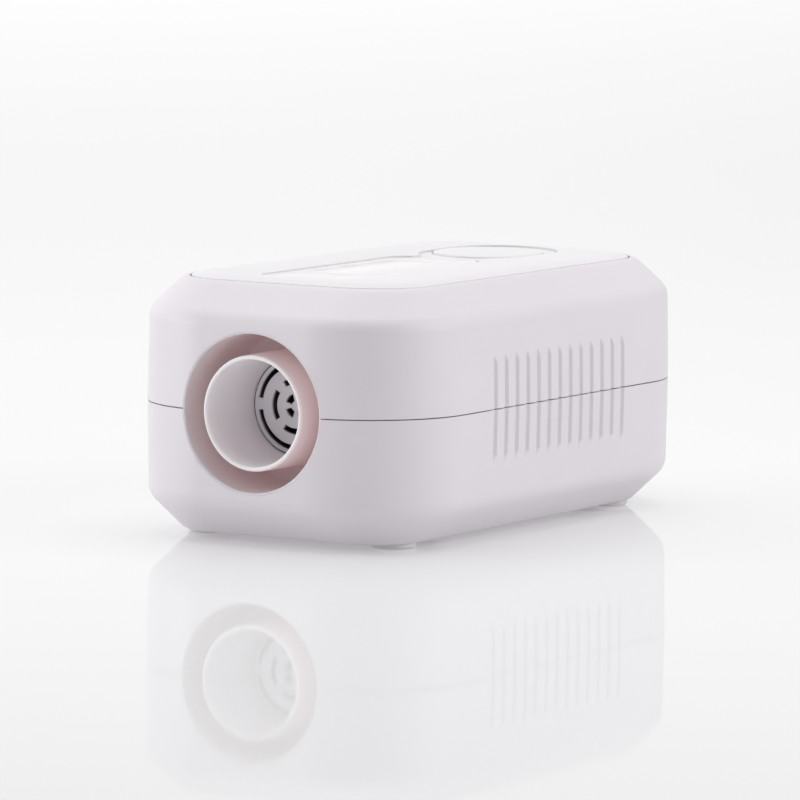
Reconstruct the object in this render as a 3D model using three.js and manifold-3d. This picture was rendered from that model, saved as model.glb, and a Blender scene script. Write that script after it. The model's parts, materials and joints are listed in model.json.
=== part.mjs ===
// Portable mechanical ventilator: a small bench-top blower unit with a 22 mm hose outlet in its front face.
// Millimetres, +Z up. The origin is on the table under the middle of the case, and the hose outlet faces -Y.
import * as THREE from "three";
import { mergeVertices } from "three/addons/utils/BufferGeometryUtils.js";
import Module from "manifold-3d";

const wasm = await Module();
wasm.setup();

// ---------------------------------------------------------------- driving dimensions

const CASE = { width: 67, length: 116, height: 49, corner: 22, wall: 2.2, draft: 0.3 };
const FOOT = { radius: 4.4, height: 1, sunk: 0.5, x: 20.6, y: 39.9 };
const SEAM = { z: FOOT.height + CASE.height / 2, gap: 0.3, lipHeight: 1.2 };
const BAND_HALF = 17.8; // half the height of the upright wall between the two chamfers
const TOP = { z: FOOT.height + CASE.height, insetX: 6.4, insetY: 8.4, corner: 14 };
const BASE = { z: FOOT.height, insetX: 8.1, insetY: 9.1, corner: 10 };
const OPENING = { insetX: 13, insetY: 13.5, corner: 8 }; // under the deck, inside the ledge that carries it
const GAP = 0.3; // clearance between neighbouring mouldings
const REST = 0.1; // clearance under a piece that rests on another

const GROOVE = { count: 13, pitch: 4, centreY: 0, width: 1.6, depth: 0.9, half: 10.5, runOut: 1.6 };
// The deck slopes down at its edge, to the rim of the top cover.
const DECK = { thick: 2, shoulder: 1, drop: 0.6, slope: 6, pocket: 1 };
const STRIP = {
  halfX: 10.4, front: -41.3, rear: 11.2, cornerFront: 4, cornerRear: 6, neckHalf: 7, neckEnd: 16,
};
const PADS = { half: 11.5, frontCentre: 23.5, rearCentre: 32.5 }; // the stadium that holds the three buttons
const DIAL = { radius: 10.9, y: 28, proud: 0.3 };
const BUTTON_TRAVEL = 0.5;
const WINDOW = { halfX: 7.6, front: -27, rear: 3, corner: 1.5 };
const PLUNGER_Y = { front: 15.4, centre: 28, rear: 40.6 };

const OUTLET = {
  rimRadius: 11, // 22 mm cone, 1:40 on the diameter
  mouthRadius: 10.25,
  throatRadius: 9.5,
  ductRadius: 8.6,
  rimBack: 0.8, // the rim sits this far behind the front face
  recessRadius: 15.25,
  cupWall: 0.75,
  cupDepth: 17.5,
  floor: 2,
  grilleDepth: 15.8,
  spigotRadius: 10,
  spigotEnd: -31,
};

const BOSS = { x: 21.5, y: 30, radius: 4.2, upperRadius: 3.2 };
const BLOWER = {
  x: 9.5,
  y: -1.5,
  bottom: 18,
  top: 31,
  wall: 1.4,
  scrollStart: 16.3,
  scrollEnd: 22.3,
  tongue: 185, // degrees, where the scroll starts
  impellerRadius: 15,
  inletRadius: 9.5,
};
const SPOUT = { x: -5, bore: 7, outer: 8.2, end: -26, root: -13 };
const MOTOR = { radius: 13, top: 44.4, wall: 1, shaftRadius: 1.5, boreRadius: 1.65 };
const MOUNTS = { left: [-19, 0], right_front: [26.5, -19], right_rear: [26.5, 18] };
const BOARD = { left: -13.5, right: 16.8, front: -26, rear: 51, bottom: 8, thick: 1.6 };
const BOARD_TOP = BOARD.bottom + BOARD.thick;
const PARTS_Z = BOARD_TOP + REST; // where the parts on the board start
const BOARD_SCREWS = { x: 1.5, front: -22, rear: 40 };
const FILTER = { halfX: 16, low: 28.3, high: 41.7, corner: 3, plate: 1.6, frame: 4, slots: 7, slotPitch: 4 };
const DC = { x: -7.5, z: 15.2, radius: 4.3, bore: 3 };
const USB = { x: 8, z: 11.45, halfX: 4.6, halfZ: 1.65 };

const FRONT = -CASE.length / 2;
const REAR = CASE.length / 2;
const FAR = 100; // longer than the part, for cutters
const SIDES = { large: 36, round: 24, small: 14, tiny: 10 }; // facets round a circle, by its size

// ---------------------------------------------------------------- materials

const paint = (color, roughness, metalness = 0) =>
  new THREE.MeshStandardMaterial({ color, roughness, metalness });
const CASE_WHITE = paint(0xe6e3e8, 0.5);
const DECK_WHITE = paint(0xf2f1f3, 0.42);
const OVERLAY_WHITE = paint(0xefecec, 0.25);
const BUTTON_WHITE = paint(0xf1f0f2, 0.35);
const PORT_WHITE = paint(0xe4dde0, 0.5);
const SMOKED_LENS = paint(0xdcd8da, 0.08);
const FOOT_RUBBER = paint(0xdddadb, 0.8);
const SCREW_STEEL = paint(0xa8a9ad, 0.35, 1);
const BLACK_PLASTIC = paint(0x1c1c1e, 0.5);
const GREY_PLASTIC = paint(0x55585c, 0.5);
const SILICONE = paint(0xc9c4bc, 0.6);
const FILTER_FOAM = paint(0x8d9aa0, 0.95);
const SILENCER = paint(0x3a3c40, 0.97);
const BOARD_GREEN = paint(0x1d5a3a, 0.55);
const COPPER = paint(0xb06a3c, 0.35, 1);
const MAGNET = paint(0x45474b, 0.4, 1);
const LAMINATION = paint(0x7c7f84, 0.45, 1);
const WIRE_BLUE = paint(0x2c4d86, 0.55);
const RIBBON_AMBER = paint(0xc98b3a, 0.4);

// ---------------------------------------------------------------- solids

function solid(geometry) {
  const bare = geometry.clone();
  bare.deleteAttribute("normal");
  bare.deleteAttribute("uv");
  const merged = mergeVertices(bare, 1e-4);
  const mesh = { numProp: 3, vertProperties: merged.attributes.position.array, triVerts: merged.index.array };
  mesh.triVerts = new Uint32Array(mesh.triVerts);
  return new wasm.Manifold(new wasm.Mesh(mesh));
}

function geometryOf(body) {
  const mesh = body.getMesh();
  const geometry = new THREE.BufferGeometry();
  geometry.setAttribute("position", new THREE.BufferAttribute(mesh.vertProperties, mesh.numProp));
  geometry.setIndex(new THREE.BufferAttribute(mesh.triVerts, 1));
  return geometry;
}

const join = (...bodies) => bodies.reduce((all, body) => all.add(body));
const cut = (body, ...tools) => tools.reduce((left, tool) => left.subtract(tool), body);

function block(x0, x1, y0, y1, z0, z1) {
  const geometry = new THREE.BoxGeometry(x1 - x0, y1 - y0, z1 - z0);
  return solid(geometry.translate((x0 + x1) / 2, (y0 + y1) / 2, (z0 + z1) / 2));
}

// A cylinder from z0 to z1.
function post(x, y, radius, z0, z1, sides = SIDES.small) {
  const geometry = new THREE.CylinderGeometry(radius, radius, z1 - z0, sides).rotateX(Math.PI / 2);
  return solid(geometry.translate(x, y, (z0 + z1) / 2));
}

// A cylinder along Y from y0 to y1.
function rod(x, z, radius, y0, y1, sides = SIDES.round) {
  const geometry = new THREE.CylinderGeometry(radius, radius, y1 - y0, sides);
  return solid(geometry.translate(x, (y0 + y1) / 2, z));
}

// A flat shape drawn in X and Y, from z0 to z1.
function plate(shape, z0, z1, curveSegments = 6) {
  const options = { depth: z1 - z0, bevelEnabled: false, curveSegments };
  return solid(new THREE.ExtrudeGeometry(shape, options).translate(0, 0, z0));
}

// A flat shape drawn in X and Z, from y0 to y1.
function panel(shape, y0, y1, curveSegments = 5) {
  const options = { depth: y1 - y0, bevelEnabled: false, curveSegments };
  return solid(new THREE.ExtrudeGeometry(shape, options).rotateX(Math.PI / 2).translate(0, y1, 0));
}

// A closed profile of [radius, height] points turned about the Y axis.
function turnedY(profile, sides = SIDES.large) {
  const points = profile.map(([r, y]) => new THREE.Vector2(r, y));
  if (THREE.ShapeUtils.area(points) < 0) points.reverse();
  if (points[0].x > 0 || points[points.length - 1].x > 0) points.push(points[0].clone());
  const body = solid(new THREE.LatheGeometry(points, sides));
  if (body.volume() > 0) return body;
  return solid(new THREE.LatheGeometry(points.reverse(), sides));
}

// The same about a vertical axis at (x, y).
function turned(x, y, profile, sides = SIDES.round) {
  const geometry = geometryOf(turnedY(profile, sides));
  return solid(geometry.rotateX(Math.PI / 2).translate(x, y, 0));
}

// A skin through rings of points, closed by a cap at each end.
function loft(rings) {
  const count = rings[0].length;
  const middle = (ring) => ring.reduce((sum, p) => sum.add(p), new THREE.Vector3()).divideScalar(count);
  const points = [...rings.flat(), middle(rings[0]), middle(rings[rings.length - 1])];
  const [bottom, top] = [points.length - 2, points.length - 1];
  const index = [];
  for (let k = 0; k < count; k++) {
    const next = (k + 1) % count;
    for (let r = 0; r + 1 < rings.length; r++) {
      const [a, b] = [r * count + k, r * count + next];
      index.push(a, b, b + count, a, b + count, a + count);
    }
    const last = (rings.length - 1) * count;
    index.push(bottom, next, k, top, last + k, last + next);
  }
  const geometry = new THREE.BufferGeometry().setFromPoints(points);
  return solid(geometry.setIndex(index));
}

// A rectangle with round corners, centred on the origin, as points.
function roundedOutline(halfX, halfY, corner, steps = 5) {
  const corners = [[1, 1], [-1, 1], [-1, -1], [1, -1]];
  return corners.flatMap(([sx, sy], quarter) =>
    Array.from({ length: steps + 1 }, (_, k) => {
      const angle = ((quarter + k / steps) * Math.PI) / 2;
      const x = sx * (halfX - corner) + corner * Math.cos(angle);
      return new THREE.Vector2(x, sy * (halfY - corner) + corner * Math.sin(angle));
    }),
  );
}

// The case's plan at one height: inset from the widest outline at the seam.
function caseRing(z, insetX, insetY, corner) {
  const outline = roundedOutline(CASE.width / 2 - insetX, CASE.length / 2 - insetY, corner);
  return outline.map((p) => new THREE.Vector3(p.x, p.y, z));
}

function roundedShape(x0, x1, y0, y1, corner) {
  const outline = roundedOutline((x1 - x0) / 2, (y1 - y0) / 2, corner, 3);
  const shift = new THREE.Vector2((x0 + x1) / 2, (y0 + y1) / 2);
  return new THREE.Shape(outline.map((p) => p.add(shift)));
}

// ---------------------------------------------------------------- the case

const BAND_TOP = SEAM.z + BAND_HALF;
const BAND_LOW = SEAM.z - BAND_HALF;
const LEDGE_Z = TOP.z - DECK.thick - GAP; // the deck rests on this ledge of the top cover

// The outer form of both shells, optionally shrunk all round.
function outerForm(shrink = 0) {
  const { draft, corner } = CASE;
  return loft([
    caseRing(BASE.z + shrink, BASE.insetX + shrink, BASE.insetY + shrink, BASE.corner - shrink),
    caseRing(BAND_LOW, draft + shrink, draft + shrink, corner - draft - shrink),
    caseRing(SEAM.z, shrink, shrink, corner - shrink),
    caseRing(BAND_TOP, draft + shrink, draft + shrink, corner - draft - shrink),
    caseRing(TOP.z - DECK.drop, TOP.insetX + shrink, TOP.insetY + shrink, TOP.corner - shrink),
  ]);
}

function grooves(side) {
  const { count, pitch, centreY, width, depth, half, runOut } = GROOVE;
  const face = side * (CASE.width / 2);
  const out = face + side;
  const shape = new THREE.Shape([
    new THREE.Vector2(out, SEAM.z - half),
    new THREE.Vector2(face, SEAM.z - half),
    new THREE.Vector2(face - side * depth, SEAM.z - half + runOut),
    new THREE.Vector2(face - side * depth, SEAM.z + half - runOut),
    new THREE.Vector2(face, SEAM.z + half),
    new THREE.Vector2(out, SEAM.z + half),
  ]);
  return Array.from({ length: count }, (_, k) => {
    const y = centreY + (k - (count - 1) / 2) * pitch;
    return panel(shape, y - width / 2, y + width / 2);
  });
}

function outletHole() {
  const radius = OUTLET.recessRadius + OUTLET.cupWall + GAP;
  return rod(0, SEAM.z, radius, FRONT - 5, FRONT + 9, SIDES.large);
}

// The four corners of the case, as signs of X and Y.
const CORNERS = { front_left: [-1, -1], front_right: [1, -1], rear_left: [-1, 1], rear_right: [1, 1] };

// The deck's plan at one height, shrunk all round.
const deckRing = (z, shrink) => caseRing(z, TOP.insetX + shrink, TOP.insetY + shrink, TOP.corner - shrink);

function filterShape(grow) {
  return roundedShape(
    -FILTER.halfX - grow, FILTER.halfX + grow, FILTER.low - grow, FILTER.high + grow, FILTER.corner + grow,
  );
}

function topCover() {
  const { wall, draft, corner } = CASE;
  const roof = LEDGE_Z - 2; // underside of the ledge
  const slopeRun = 1.4; // the inner chamfer leans in this much for each millimetre of rise
  const rise = roof - (BAND_TOP - 0.9);
  const inside = loft([
    caseRing(SEAM.z - 1, wall, wall, corner - wall),
    caseRing(BAND_TOP - 0.9, wall + draft, wall + draft, corner - wall - draft),
    caseRing(roof, wall + draft + 1.09 * rise, wall + draft + slopeRun * rise, corner - wall - rise),
  ]);
  const pocket = loft([deckRing(LEDGE_Z, DECK.shoulder), deckRing(TOP.z + 1, DECK.shoulder)]);
  const opening = loft(
    [roof - 1, TOP.z].map((z) => caseRing(z, OPENING.insetX, OPENING.insetY, OPENING.corner)),
  );
  const rabbetInset = wall - 1.2;
  const rabbetTop = SEAM.z + SEAM.lipHeight + 0.6;
  const rabbet = loft([
    caseRing(SEAM.z - 1, rabbetInset, rabbetInset, corner - rabbetInset),
    caseRing(rabbetTop, rabbetInset, rabbetInset, corner - rabbetInset),
  ]);
  const below = block(-FAR, FAR, -FAR, FAR, -FAR, SEAM.z + SEAM.gap / 2);
  let body = cut(outerForm(), below, inside, pocket, opening, rabbet);
  for (const [sx, sy] of Object.values(CORNERS)) {
    const [x, y] = [sx * BOSS.x, sy * BOSS.y];
    body = cut(
      join(body, post(x, y, BOSS.upperRadius, SEAM.z + SEAM.gap / 2, roof + 1)),
      post(x, y, 1.45, SEAM.z - 1, SEAM.z + 12, SIDES.tiny),
    );
  }
  return cut(
    body, outletHole(), panel(filterShape(0), REAR - 10, REAR + 5, 4), ...grooves(1), ...grooves(-1),
  );
}

function bottomCase() {
  const { wall, draft, corner } = CASE;
  const floor = BASE.z + wall;
  const inside = loft([
    caseRing(floor, BASE.insetX + 1.2, BASE.insetY + 1.2, BASE.corner - 1.2),
    caseRing(BAND_LOW + 0.9, wall + draft, wall + draft, corner - wall - draft),
    caseRing(SEAM.z + 5, wall, wall, corner - wall),
  ]);
  const lipOut = wall - 0.9;
  const lip = cut(
    loft([
      caseRing(SEAM.z - 2, lipOut, lipOut, corner - lipOut),
      caseRing(SEAM.z + SEAM.lipHeight, lipOut, lipOut, corner - lipOut),
    ]),
    loft([
      caseRing(SEAM.z - 3, wall, wall, corner - wall),
      caseRing(SEAM.z + 5, wall, wall, corner - wall),
    ]),
  );
  const above = block(-FAR, FAR, -FAR, FAR, SEAM.z - SEAM.gap / 2, FAR);
  let body = join(cut(outerForm(), above, inside), lip);
  for (const [sx, sy] of Object.values(CORNERS)) {
    const [x, y] = [sx * BOSS.x, sy * BOSS.y];
    body = join(body, post(x, y, BOSS.radius, BASE.z + 0.5, SEAM.z - SEAM.gap / 2));
    body = cut(
      body,
      post(x, y, 3.1, BASE.z - 2, BASE.z + 5),
      post(x, y, 1.6, BASE.z, SEAM.z + 5, SIDES.tiny),
      post(sx * FOOT.x, sy * FOOT.y, FOOT.radius + 0.2, BASE.z - 2, BASE.z + FOOT.sunk + REST, SIDES.round),
    );
  }
  const skin = outerForm(0.8);
  for (const [x, y] of Object.values(MOUNTS)) {
    const pillar = join(post(x, y, 2.6, floor - 1, 18.6), post(x, y, 1.7, floor - 1, 24.2));
    body = join(body, pillar.intersect(skin));
  }
  for (const y of [BOARD_SCREWS.front, BOARD_SCREWS.rear]) {
    body = join(body, post(BOARD_SCREWS.x, y, 3, floor - 1, BOARD.bottom - REST));
    body = cut(body, post(BOARD_SCREWS.x, y, 1.15, floor, FAR, SIDES.tiny));
  }
  const usbHole = roundedShape(
    USB.x - USB.halfX - GAP, USB.x + USB.halfX + GAP, USB.z - USB.halfZ - GAP, USB.z + USB.halfZ + GAP, 1.7,
  );
  return cut(
    body, outletHole(), rod(DC.x, DC.z, DC.radius + GAP, REAR - 5, REAR + 5),
    panel(usbHole, REAR - 5, REAR + 5), ...grooves(1), ...grooves(-1),
  );
}

function foot(x, y) {
  const { radius, height, sunk } = FOOT;
  const top = height + sunk;
  return turned(x, y, [[0, 0], [radius - 0.5, 0], [radius, 0.4], [radius, top], [0, top]]);
}

function caseScrew(x, y) {
  const [head, under, tip] = [BASE.z + 2.8, BASE.z + 5 - REST, SEAM.z + 9];
  const body = turned(x, y, [
    [0, head], [2.4, head], [2.8, head + 0.4], [2.8, under], [1.3, under], [1.3, tip - 1], [0, tip],
  ], SIDES.tiny);
  const hex = new THREE.CylinderGeometry(1.25, 1.25, 2.4, 6).rotateX(Math.PI / 2).translate(x, y, head);
  return cut(body, solid(hex));
}

// ---------------------------------------------------------------- control deck, display and buttons

const padsOutline = (grow) => {
  const shape = new THREE.Shape();
  const half = PADS.half + grow;
  shape.absarc(0, PADS.rearCentre, half, 0, Math.PI, false);
  shape.absarc(0, PADS.frontCentre, half, Math.PI, 2 * Math.PI, false);
  return shape;
};

// The strip in front of the buttons: square-shouldered in front, rounder where it meets them.
const stripOutline = (grow) => {
  const { halfX, front, rear, cornerFront, cornerRear } = STRIP;
  const [x, low, high] = [halfX + grow, front - grow, rear + grow];
  const shape = new THREE.Shape();
  shape.absarc(x - cornerRear, high - cornerRear, cornerRear, 0, Math.PI / 2, false);
  shape.absarc(cornerRear - x, high - cornerRear, cornerRear, Math.PI / 2, Math.PI, false);
  shape.absarc(cornerFront - x, low + cornerFront, cornerFront, Math.PI, 1.5 * Math.PI, false);
  shape.absarc(x - cornerFront, low + cornerFront, cornerFront, 1.5 * Math.PI, 2 * Math.PI, false);
  return shape;
};

// The strip with the neck that leads into the pads, grown or shrunk all round.
function stripSolid(grow, z0, z1) {
  const neck = STRIP.neckHalf + grow;
  return join(plate(stripOutline(grow), z0, z1), block(-neck, neck, 5, STRIP.neckEnd, z0, z1));
}

const POCKET_Z = TOP.z - DECK.pocket;
const windowShape = (grow) =>
  roundedShape(
    -WINDOW.halfX - grow, WINDOW.halfX + grow, WINDOW.front - grow, WINDOW.rear + grow, WINDOW.corner + grow,
  );

function controlDeck() {
  const under = TOP.z - DECK.thick;
  const inset = DECK.shoulder + GAP;
  const edge = deckRing(TOP.z - DECK.drop + 0.05, inset);
  let body = cut(
    loft([deckRing(under, inset), edge, deckRing(TOP.z, inset + DECK.slope)]),
    stripSolid(0, POCKET_Z, TOP.z + 1),
    plate(padsOutline(0), under - 1, TOP.z + 1, 14),
    plate(windowShape(-0.8), under - 1, TOP.z),
  );
  for (const x of [-14.2, 14.2]) {
    for (const y of [19, 37]) body = join(body, post(x, y, 2, 43.9, under + 1, SIDES.tiny));
  }
  return body;
}

function controlOverlay() {
  return cut(
    stripSolid(-GAP, POCKET_Z + REST, POCKET_Z + 0.6),
    plate(padsOutline(0.4), POCKET_Z - 1, TOP.z + 1, 14),
    plate(windowShape(0), POCKET_Z - 1, TOP.z),
  );
}

const displayLens = () => plate(windowShape(-GAP), POCKET_Z + REST, POCKET_Z + 0.6);

const BUTTON_TOP = TOP.z - 0.45;
const BUTTON_LOW = BUTTON_TOP - 1.3;
const PLUNGER_TOP = 46.9;

function centreButton() {
  const { radius, y, proud } = DIAL;
  const crown = TOP.z + proud;
  const stemLow = PLUNGER_TOP + REST;
  return turned(0, y, [
    [0, stemLow], [1.6, stemLow], [1.6, BUTTON_LOW], [radius, BUTTON_LOW], [radius, TOP.z - 0.3],
    [radius - 0.5, TOP.z + 0.05], [radius * 0.6, crown - 0.08], [0, crown],
  ], SIDES.large);
}

// A crescent between the dial and the end of the pads; end is -1 for the front and 1 for the rear.
function crescentButton(end, stemY) {
  const centre = end < 0 ? PADS.frontCentre : PADS.rearCentre;
  const shape = new THREE.Shape();
  shape.absarc(0, centre, PADS.half - GAP, 0, 2 * Math.PI, false);
  const tips = centre + end * 4.2;
  const keep = end < 0 ? block(-FAR, FAR, -FAR, tips, 0, FAR) : block(-FAR, FAR, tips, FAR, 0, FAR);
  const body = cut(
    plate(shape, BUTTON_LOW, BUTTON_TOP, SIDES.large).intersect(keep),
    post(0, DIAL.y, DIAL.radius + GAP, 0, FAR, SIDES.large),
  );
  return join(body, post(0, stemY, 1.3, PLUNGER_TOP + REST, BUTTON_LOW + 0.5, SIDES.tiny));
}

const BUTTON_BOARD = { halfX: 16, front: 12.2, rear: 45.4, bottom: 42.5, thick: 1.2 };
const SWITCH_LOW = BUTTON_BOARD.bottom + BUTTON_BOARD.thick + REST;
const PLUNGER_LOW = SWITCH_LOW + 1.3;

function buttonBoard() {
  const { halfX, front, rear, bottom, thick } = BUTTON_BOARD;
  return plate(roundedShape(-halfX, halfX, front, rear, 2), bottom, bottom + thick);
}

function switchBody(y) {
  const top = SWITCH_LOW + 2.2;
  const well = PLUNGER_LOW - BUTTON_TRAVEL - 0.2;
  return cut(block(-3, 3, y - 3, y + 3, SWITCH_LOW, top), post(0, y, 1.9, well, top + 1, SIDES.tiny));
}

const switchPlunger = (y) => post(0, y, 1.6, PLUNGER_LOW, PLUNGER_TOP, SIDES.tiny);

function displayModule() {
  const glass = block(-8.6, 8.6, -28.5, 3.6, 46.6, 47.7);
  const frame = block(-9.2, 9.2, -30, 4.4, 45.6, 46.8);
  return join(frame, glass);
}

// ---------------------------------------------------------------- hose outlet

function outletPort() {
  const o = OUTLET;
  const rim = FRONT + o.rimBack;
  const back = FRONT + o.cupDepth;
  const seat = FRONT + o.grilleDepth + 1.7;
  const root = o.rimRadius + (back - rim) / 80;
  const shell = turnedY([
    [o.mouthRadius, rim + 0.2], [o.throatRadius, FRONT + o.grilleDepth - 0.1], [o.throatRadius, seat],
    [o.ductRadius, seat], [o.ductRadius, o.spigotEnd], [o.spigotRadius, o.spigotEnd],
    [o.spigotRadius, back + o.floor], [o.recessRadius + o.cupWall, back + o.floor],
    [o.recessRadius + o.cupWall, FRONT - 1], [o.recessRadius, FRONT - 1], [o.recessRadius, back],
    [root, back], [o.rimRadius, rim + 0.2], [o.rimRadius - 0.15, rim], [o.mouthRadius + 0.1, rim],
  ]);
  const inPlace = solid(geometryOf(shell).translate(0, 0, SEAM.z));
  const pressureTap = rod(13, SEAM.z - 6, 1.3, back + 0.5, back + o.floor + 5, SIDES.tiny);
  return join(inPlace.intersect(outerForm()), pressureTap);
}

// An arc-shaped slot between two radii, centred on an angle, in degrees.
function slotPath(inner, outer, middle, spread) {
  const [from, to] = [middle - spread, middle + spread].map(THREE.MathUtils.degToRad);
  const path = new THREE.Path();
  path.absarc(0, 0, outer, from, to, false);
  path.absarc(0, 0, inner, to, from, true);
  path.closePath();
  return path;
}

function outletGrille() {
  const disc = new THREE.Shape();
  disc.absarc(0, 0, OUTLET.throatRadius - 0.25, 0, 2 * Math.PI, false);
  for (let quarter = 0; quarter < 4; quarter++) {
    const axis = quarter * 90;
    disc.holes.push(slotPath(7.5, 8.5, axis + 45, 37));
    disc.holes.push(slotPath(4.25, 5.4, axis, 33));
    disc.holes.push(slotPath(1, 2.4, axis + 45, 28));
  }
  const front = FRONT + OUTLET.grilleDepth;
  const flat = panel(disc, front, front + 1.5, 4);
  return solid(geometryOf(flat).translate(0, 0, SEAM.z));
}

// The silicone sleeve from the blower's spout to the outlet's spigot.
function outletCoupling() {
  const sleeve = (extra, over) => {
    const stations = [
      [-21 + over, SPOUT.x, SPOUT.outer + 0.25],
      [SPOUT.end, SPOUT.x, SPOUT.outer + 0.25],
      [OUTLET.spigotEnd + 0.5, 0, OUTLET.spigotRadius + 0.25],
      [-38.1 - over, 0, OUTLET.spigotRadius + 0.25],
    ];
    return loft(
      stations.map(([y, x, r]) =>
        Array.from({ length: SIDES.round }, (_, k) => {
          const a = (2 * Math.PI * k) / SIDES.round;
          return new THREE.Vector3(x + (r + extra) * Math.cos(a), y, SEAM.z + (r + extra) * Math.sin(a));
        }),
      ),
    );
  };
  return cut(sleeve(1.4, 0), sleeve(0, 1));
}

// ---------------------------------------------------------------- blower and motor

function scrollShape(grow) {
  const { x, y, scrollStart, scrollEnd, tongue } = BLOWER;
  const steps = 36;
  return new THREE.Shape(
    Array.from({ length: steps + 1 }, (_, k) => {
      const turn = k / steps;
      const angle = THREE.MathUtils.degToRad(tongue + 358 * turn);
      const r = scrollStart + (scrollEnd - scrollStart) * turn + grow;
      return new THREE.Vector2(x + r * Math.cos(angle), y + r * Math.sin(angle));
    }),
  );
}

// A flat bar of half-width r between two points, with round ends, for the mounting ears.
function ear([x0, y0], [x1, y1], r) {
  const along = Math.atan2(y1 - y0, x1 - x0);
  const shape = new THREE.Shape();
  shape.absarc(x1, y1, r, along - Math.PI / 2, along + Math.PI / 2, false);
  shape.absarc(x0, y0, r, along + Math.PI / 2, along + 1.5 * Math.PI, false);
  return plate(shape, 19.9, 21.9, 5);
}

// The spout is round in front of its root, and no taller than the scroll behind it.
function spout(radius, end, root, low, high) {
  const within = block(-FAR, FAR, -FAR, FAR, low, high);
  const buried = rod(SPOUT.x, SEAM.z, radius, root, BLOWER.y).intersect(within);
  return join(rod(SPOUT.x, SEAM.z, radius, end, root), buried);
}

function blowerCasing() {
  const { x, y, bottom, top, wall, inletRadius } = BLOWER;
  const barrel = spout(SPOUT.outer, SPOUT.end, SPOUT.root, bottom, top);
  const airway = spout(SPOUT.bore, SPOUT.end - 1, SPOUT.root - wall, bottom + wall, top - wall);
  let body = join(plate(scrollShape(wall), bottom, top), barrel);
  for (const at of Object.values(MOUNTS)) body = join(body, ear(at, [x, y], 4.2));
  body = join(body, post(x, y, 6.3, top - 1, 34, SIDES.round));
  body = cut(
    body,
    plate(scrollShape(0), bottom + wall, top - wall),
    airway,
    post(x, y, inletRadius, bottom - 1, bottom + wall + 1, SIDES.round),
    post(x, y, 2.6, top - wall - 1, 36),
    post(x, y, 4.75, top + 0.4, 36, SIDES.round),
  );
  for (const [mx, my] of Object.values(MOUNTS)) body = cut(body, post(mx, my, 3.3, 0, FAR));
  return body;
}

const lowerCasing = () => cut(blowerCasing(), block(-FAR, FAR, -FAR, FAR, SEAM.z - 0.15, FAR));
const upperCasing = () => cut(blowerCasing(), block(-FAR, FAR, -FAR, FAR, 0, SEAM.z + 0.15));

function bladeShape(angle) {
  const [inner, outer, sweep, half, steps] = [6.6, 14.7, 0.95, 0.45, 4];
  const spine = Array.from({ length: steps + 1 }, (_, k) => {
    const r = inner + ((outer - inner) * k) / steps;
    const a = angle - sweep * (k / steps) ** 0.8;
    return new THREE.Vector2(r * Math.cos(a), r * Math.sin(a));
  });
  const side = (sign) =>
    spine.map((p, k) => {
      const [from, to] = [spine[Math.max(k - 1, 0)], spine[Math.min(k + 1, steps)]];
      const d = to.clone().sub(from).normalize();
      return new THREE.Vector2(p.x - sign * half * d.y, p.y + sign * half * d.x);
    });
  return new THREE.Shape([...side(1), ...side(-1).reverse()]);
}

function impeller() {
  const { x, y, impellerRadius } = BLOWER;
  const blades = 11;
  let body = join(post(0, 0, impellerRadius, 28.1, 29.1, SIDES.round), post(0, 0, 4.6, 22.2, 29.1));
  for (let k = 0; k < blades; k++) {
    body = join(body, plate(bladeShape((2 * Math.PI * k) / blades), 20.1, 28.6));
  }
  const shroud = post(0, 0, impellerRadius, 19.9, 20.7, SIDES.round);
  body = join(body, cut(shroud, post(0, 0, 9, 19, 22, SIDES.round)));
  body = cut(body, post(0, 0, MOTOR.shaftRadius + 0.05, 0, FAR));
  return solid(geometryOf(body).translate(x, y, 0));
}

// A plain ring on the motor's axis.
const ring = (inner, outer, z0, z1, sides = SIDES.small) =>
  turned(BLOWER.x, BLOWER.y, [[inner, z0], [outer, z0], [outer, z1], [inner, z1]], sides);

const motorShaft = () => post(BLOWER.x, BLOWER.y, MOTOR.shaftRadius, 22, 43.3);
const rotorMagnet = () => ring(MOTOR.shaftRadius + 0.05, 5.9, 34.6, 40.4);
const bearing = (z) => ring(MOTOR.boreRadius, 4.5, z, z + 2.4);

const TEETH = 6;

function statorCore() {
  const { x, y } = BLOWER;
  const yoke = ring(10, 11.7, 35.4, 39.6, SIDES.round);
  const teeth = Array.from({ length: TEETH }, (_, k) => {
    const bar = new THREE.BoxGeometry(4, 2, 4.2).translate(8.4, 0, 37.5);
    const shoe = new THREE.BoxGeometry(0.9, 4.2, 4.2).translate(6.85, 0, 37.5);
    const turn = (2 * Math.PI * k) / TEETH;
    const tooth = join(solid(bar), solid(shoe));
    return solid(geometryOf(tooth).rotateZ(turn).translate(x, y, 0));
  });
  return join(yoke, ...teeth);
}

function statorWindings() {
  const { x, y } = BLOWER;
  const coils = Array.from({ length: TEETH }, (_, k) => {
    const coil = new THREE.BoxGeometry(2.1, 4, 6.4).translate(8.6, 0, 37.5);
    const hole = new THREE.BoxGeometry(3, 2.4, 4.6).translate(8.6, 0, 37.5);
    const turn = (2 * Math.PI * k) / TEETH;
    return solid(geometryOf(cut(solid(coil), solid(hole))).rotateZ(turn).translate(x, y, 0));
  });
  return join(ring(8.2, 9.4, 40.2, 40.7, SIDES.round), ...coils);
}

function motorCap() {
  const { x, y } = BLOWER;
  const { radius, wall, top } = MOTOR;
  const low = BLOWER.top + REST;
  const body = turned(x, y, [
    [radius - wall, low], [radius, low], [radius, top - 0.6], [radius - 0.6, top], [2, top],
    [2, top - 0.8], [4.7, top - 0.8], [4.7, 41.2], [5.7, 41.2], [5.7, top - 0.8], [radius - wall, top - 0.8],
  ]);
  return cut(body, block(x - radius - 2, x - radius + 2, y - 2, y + 2, 35, 37.6));
}

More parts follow.
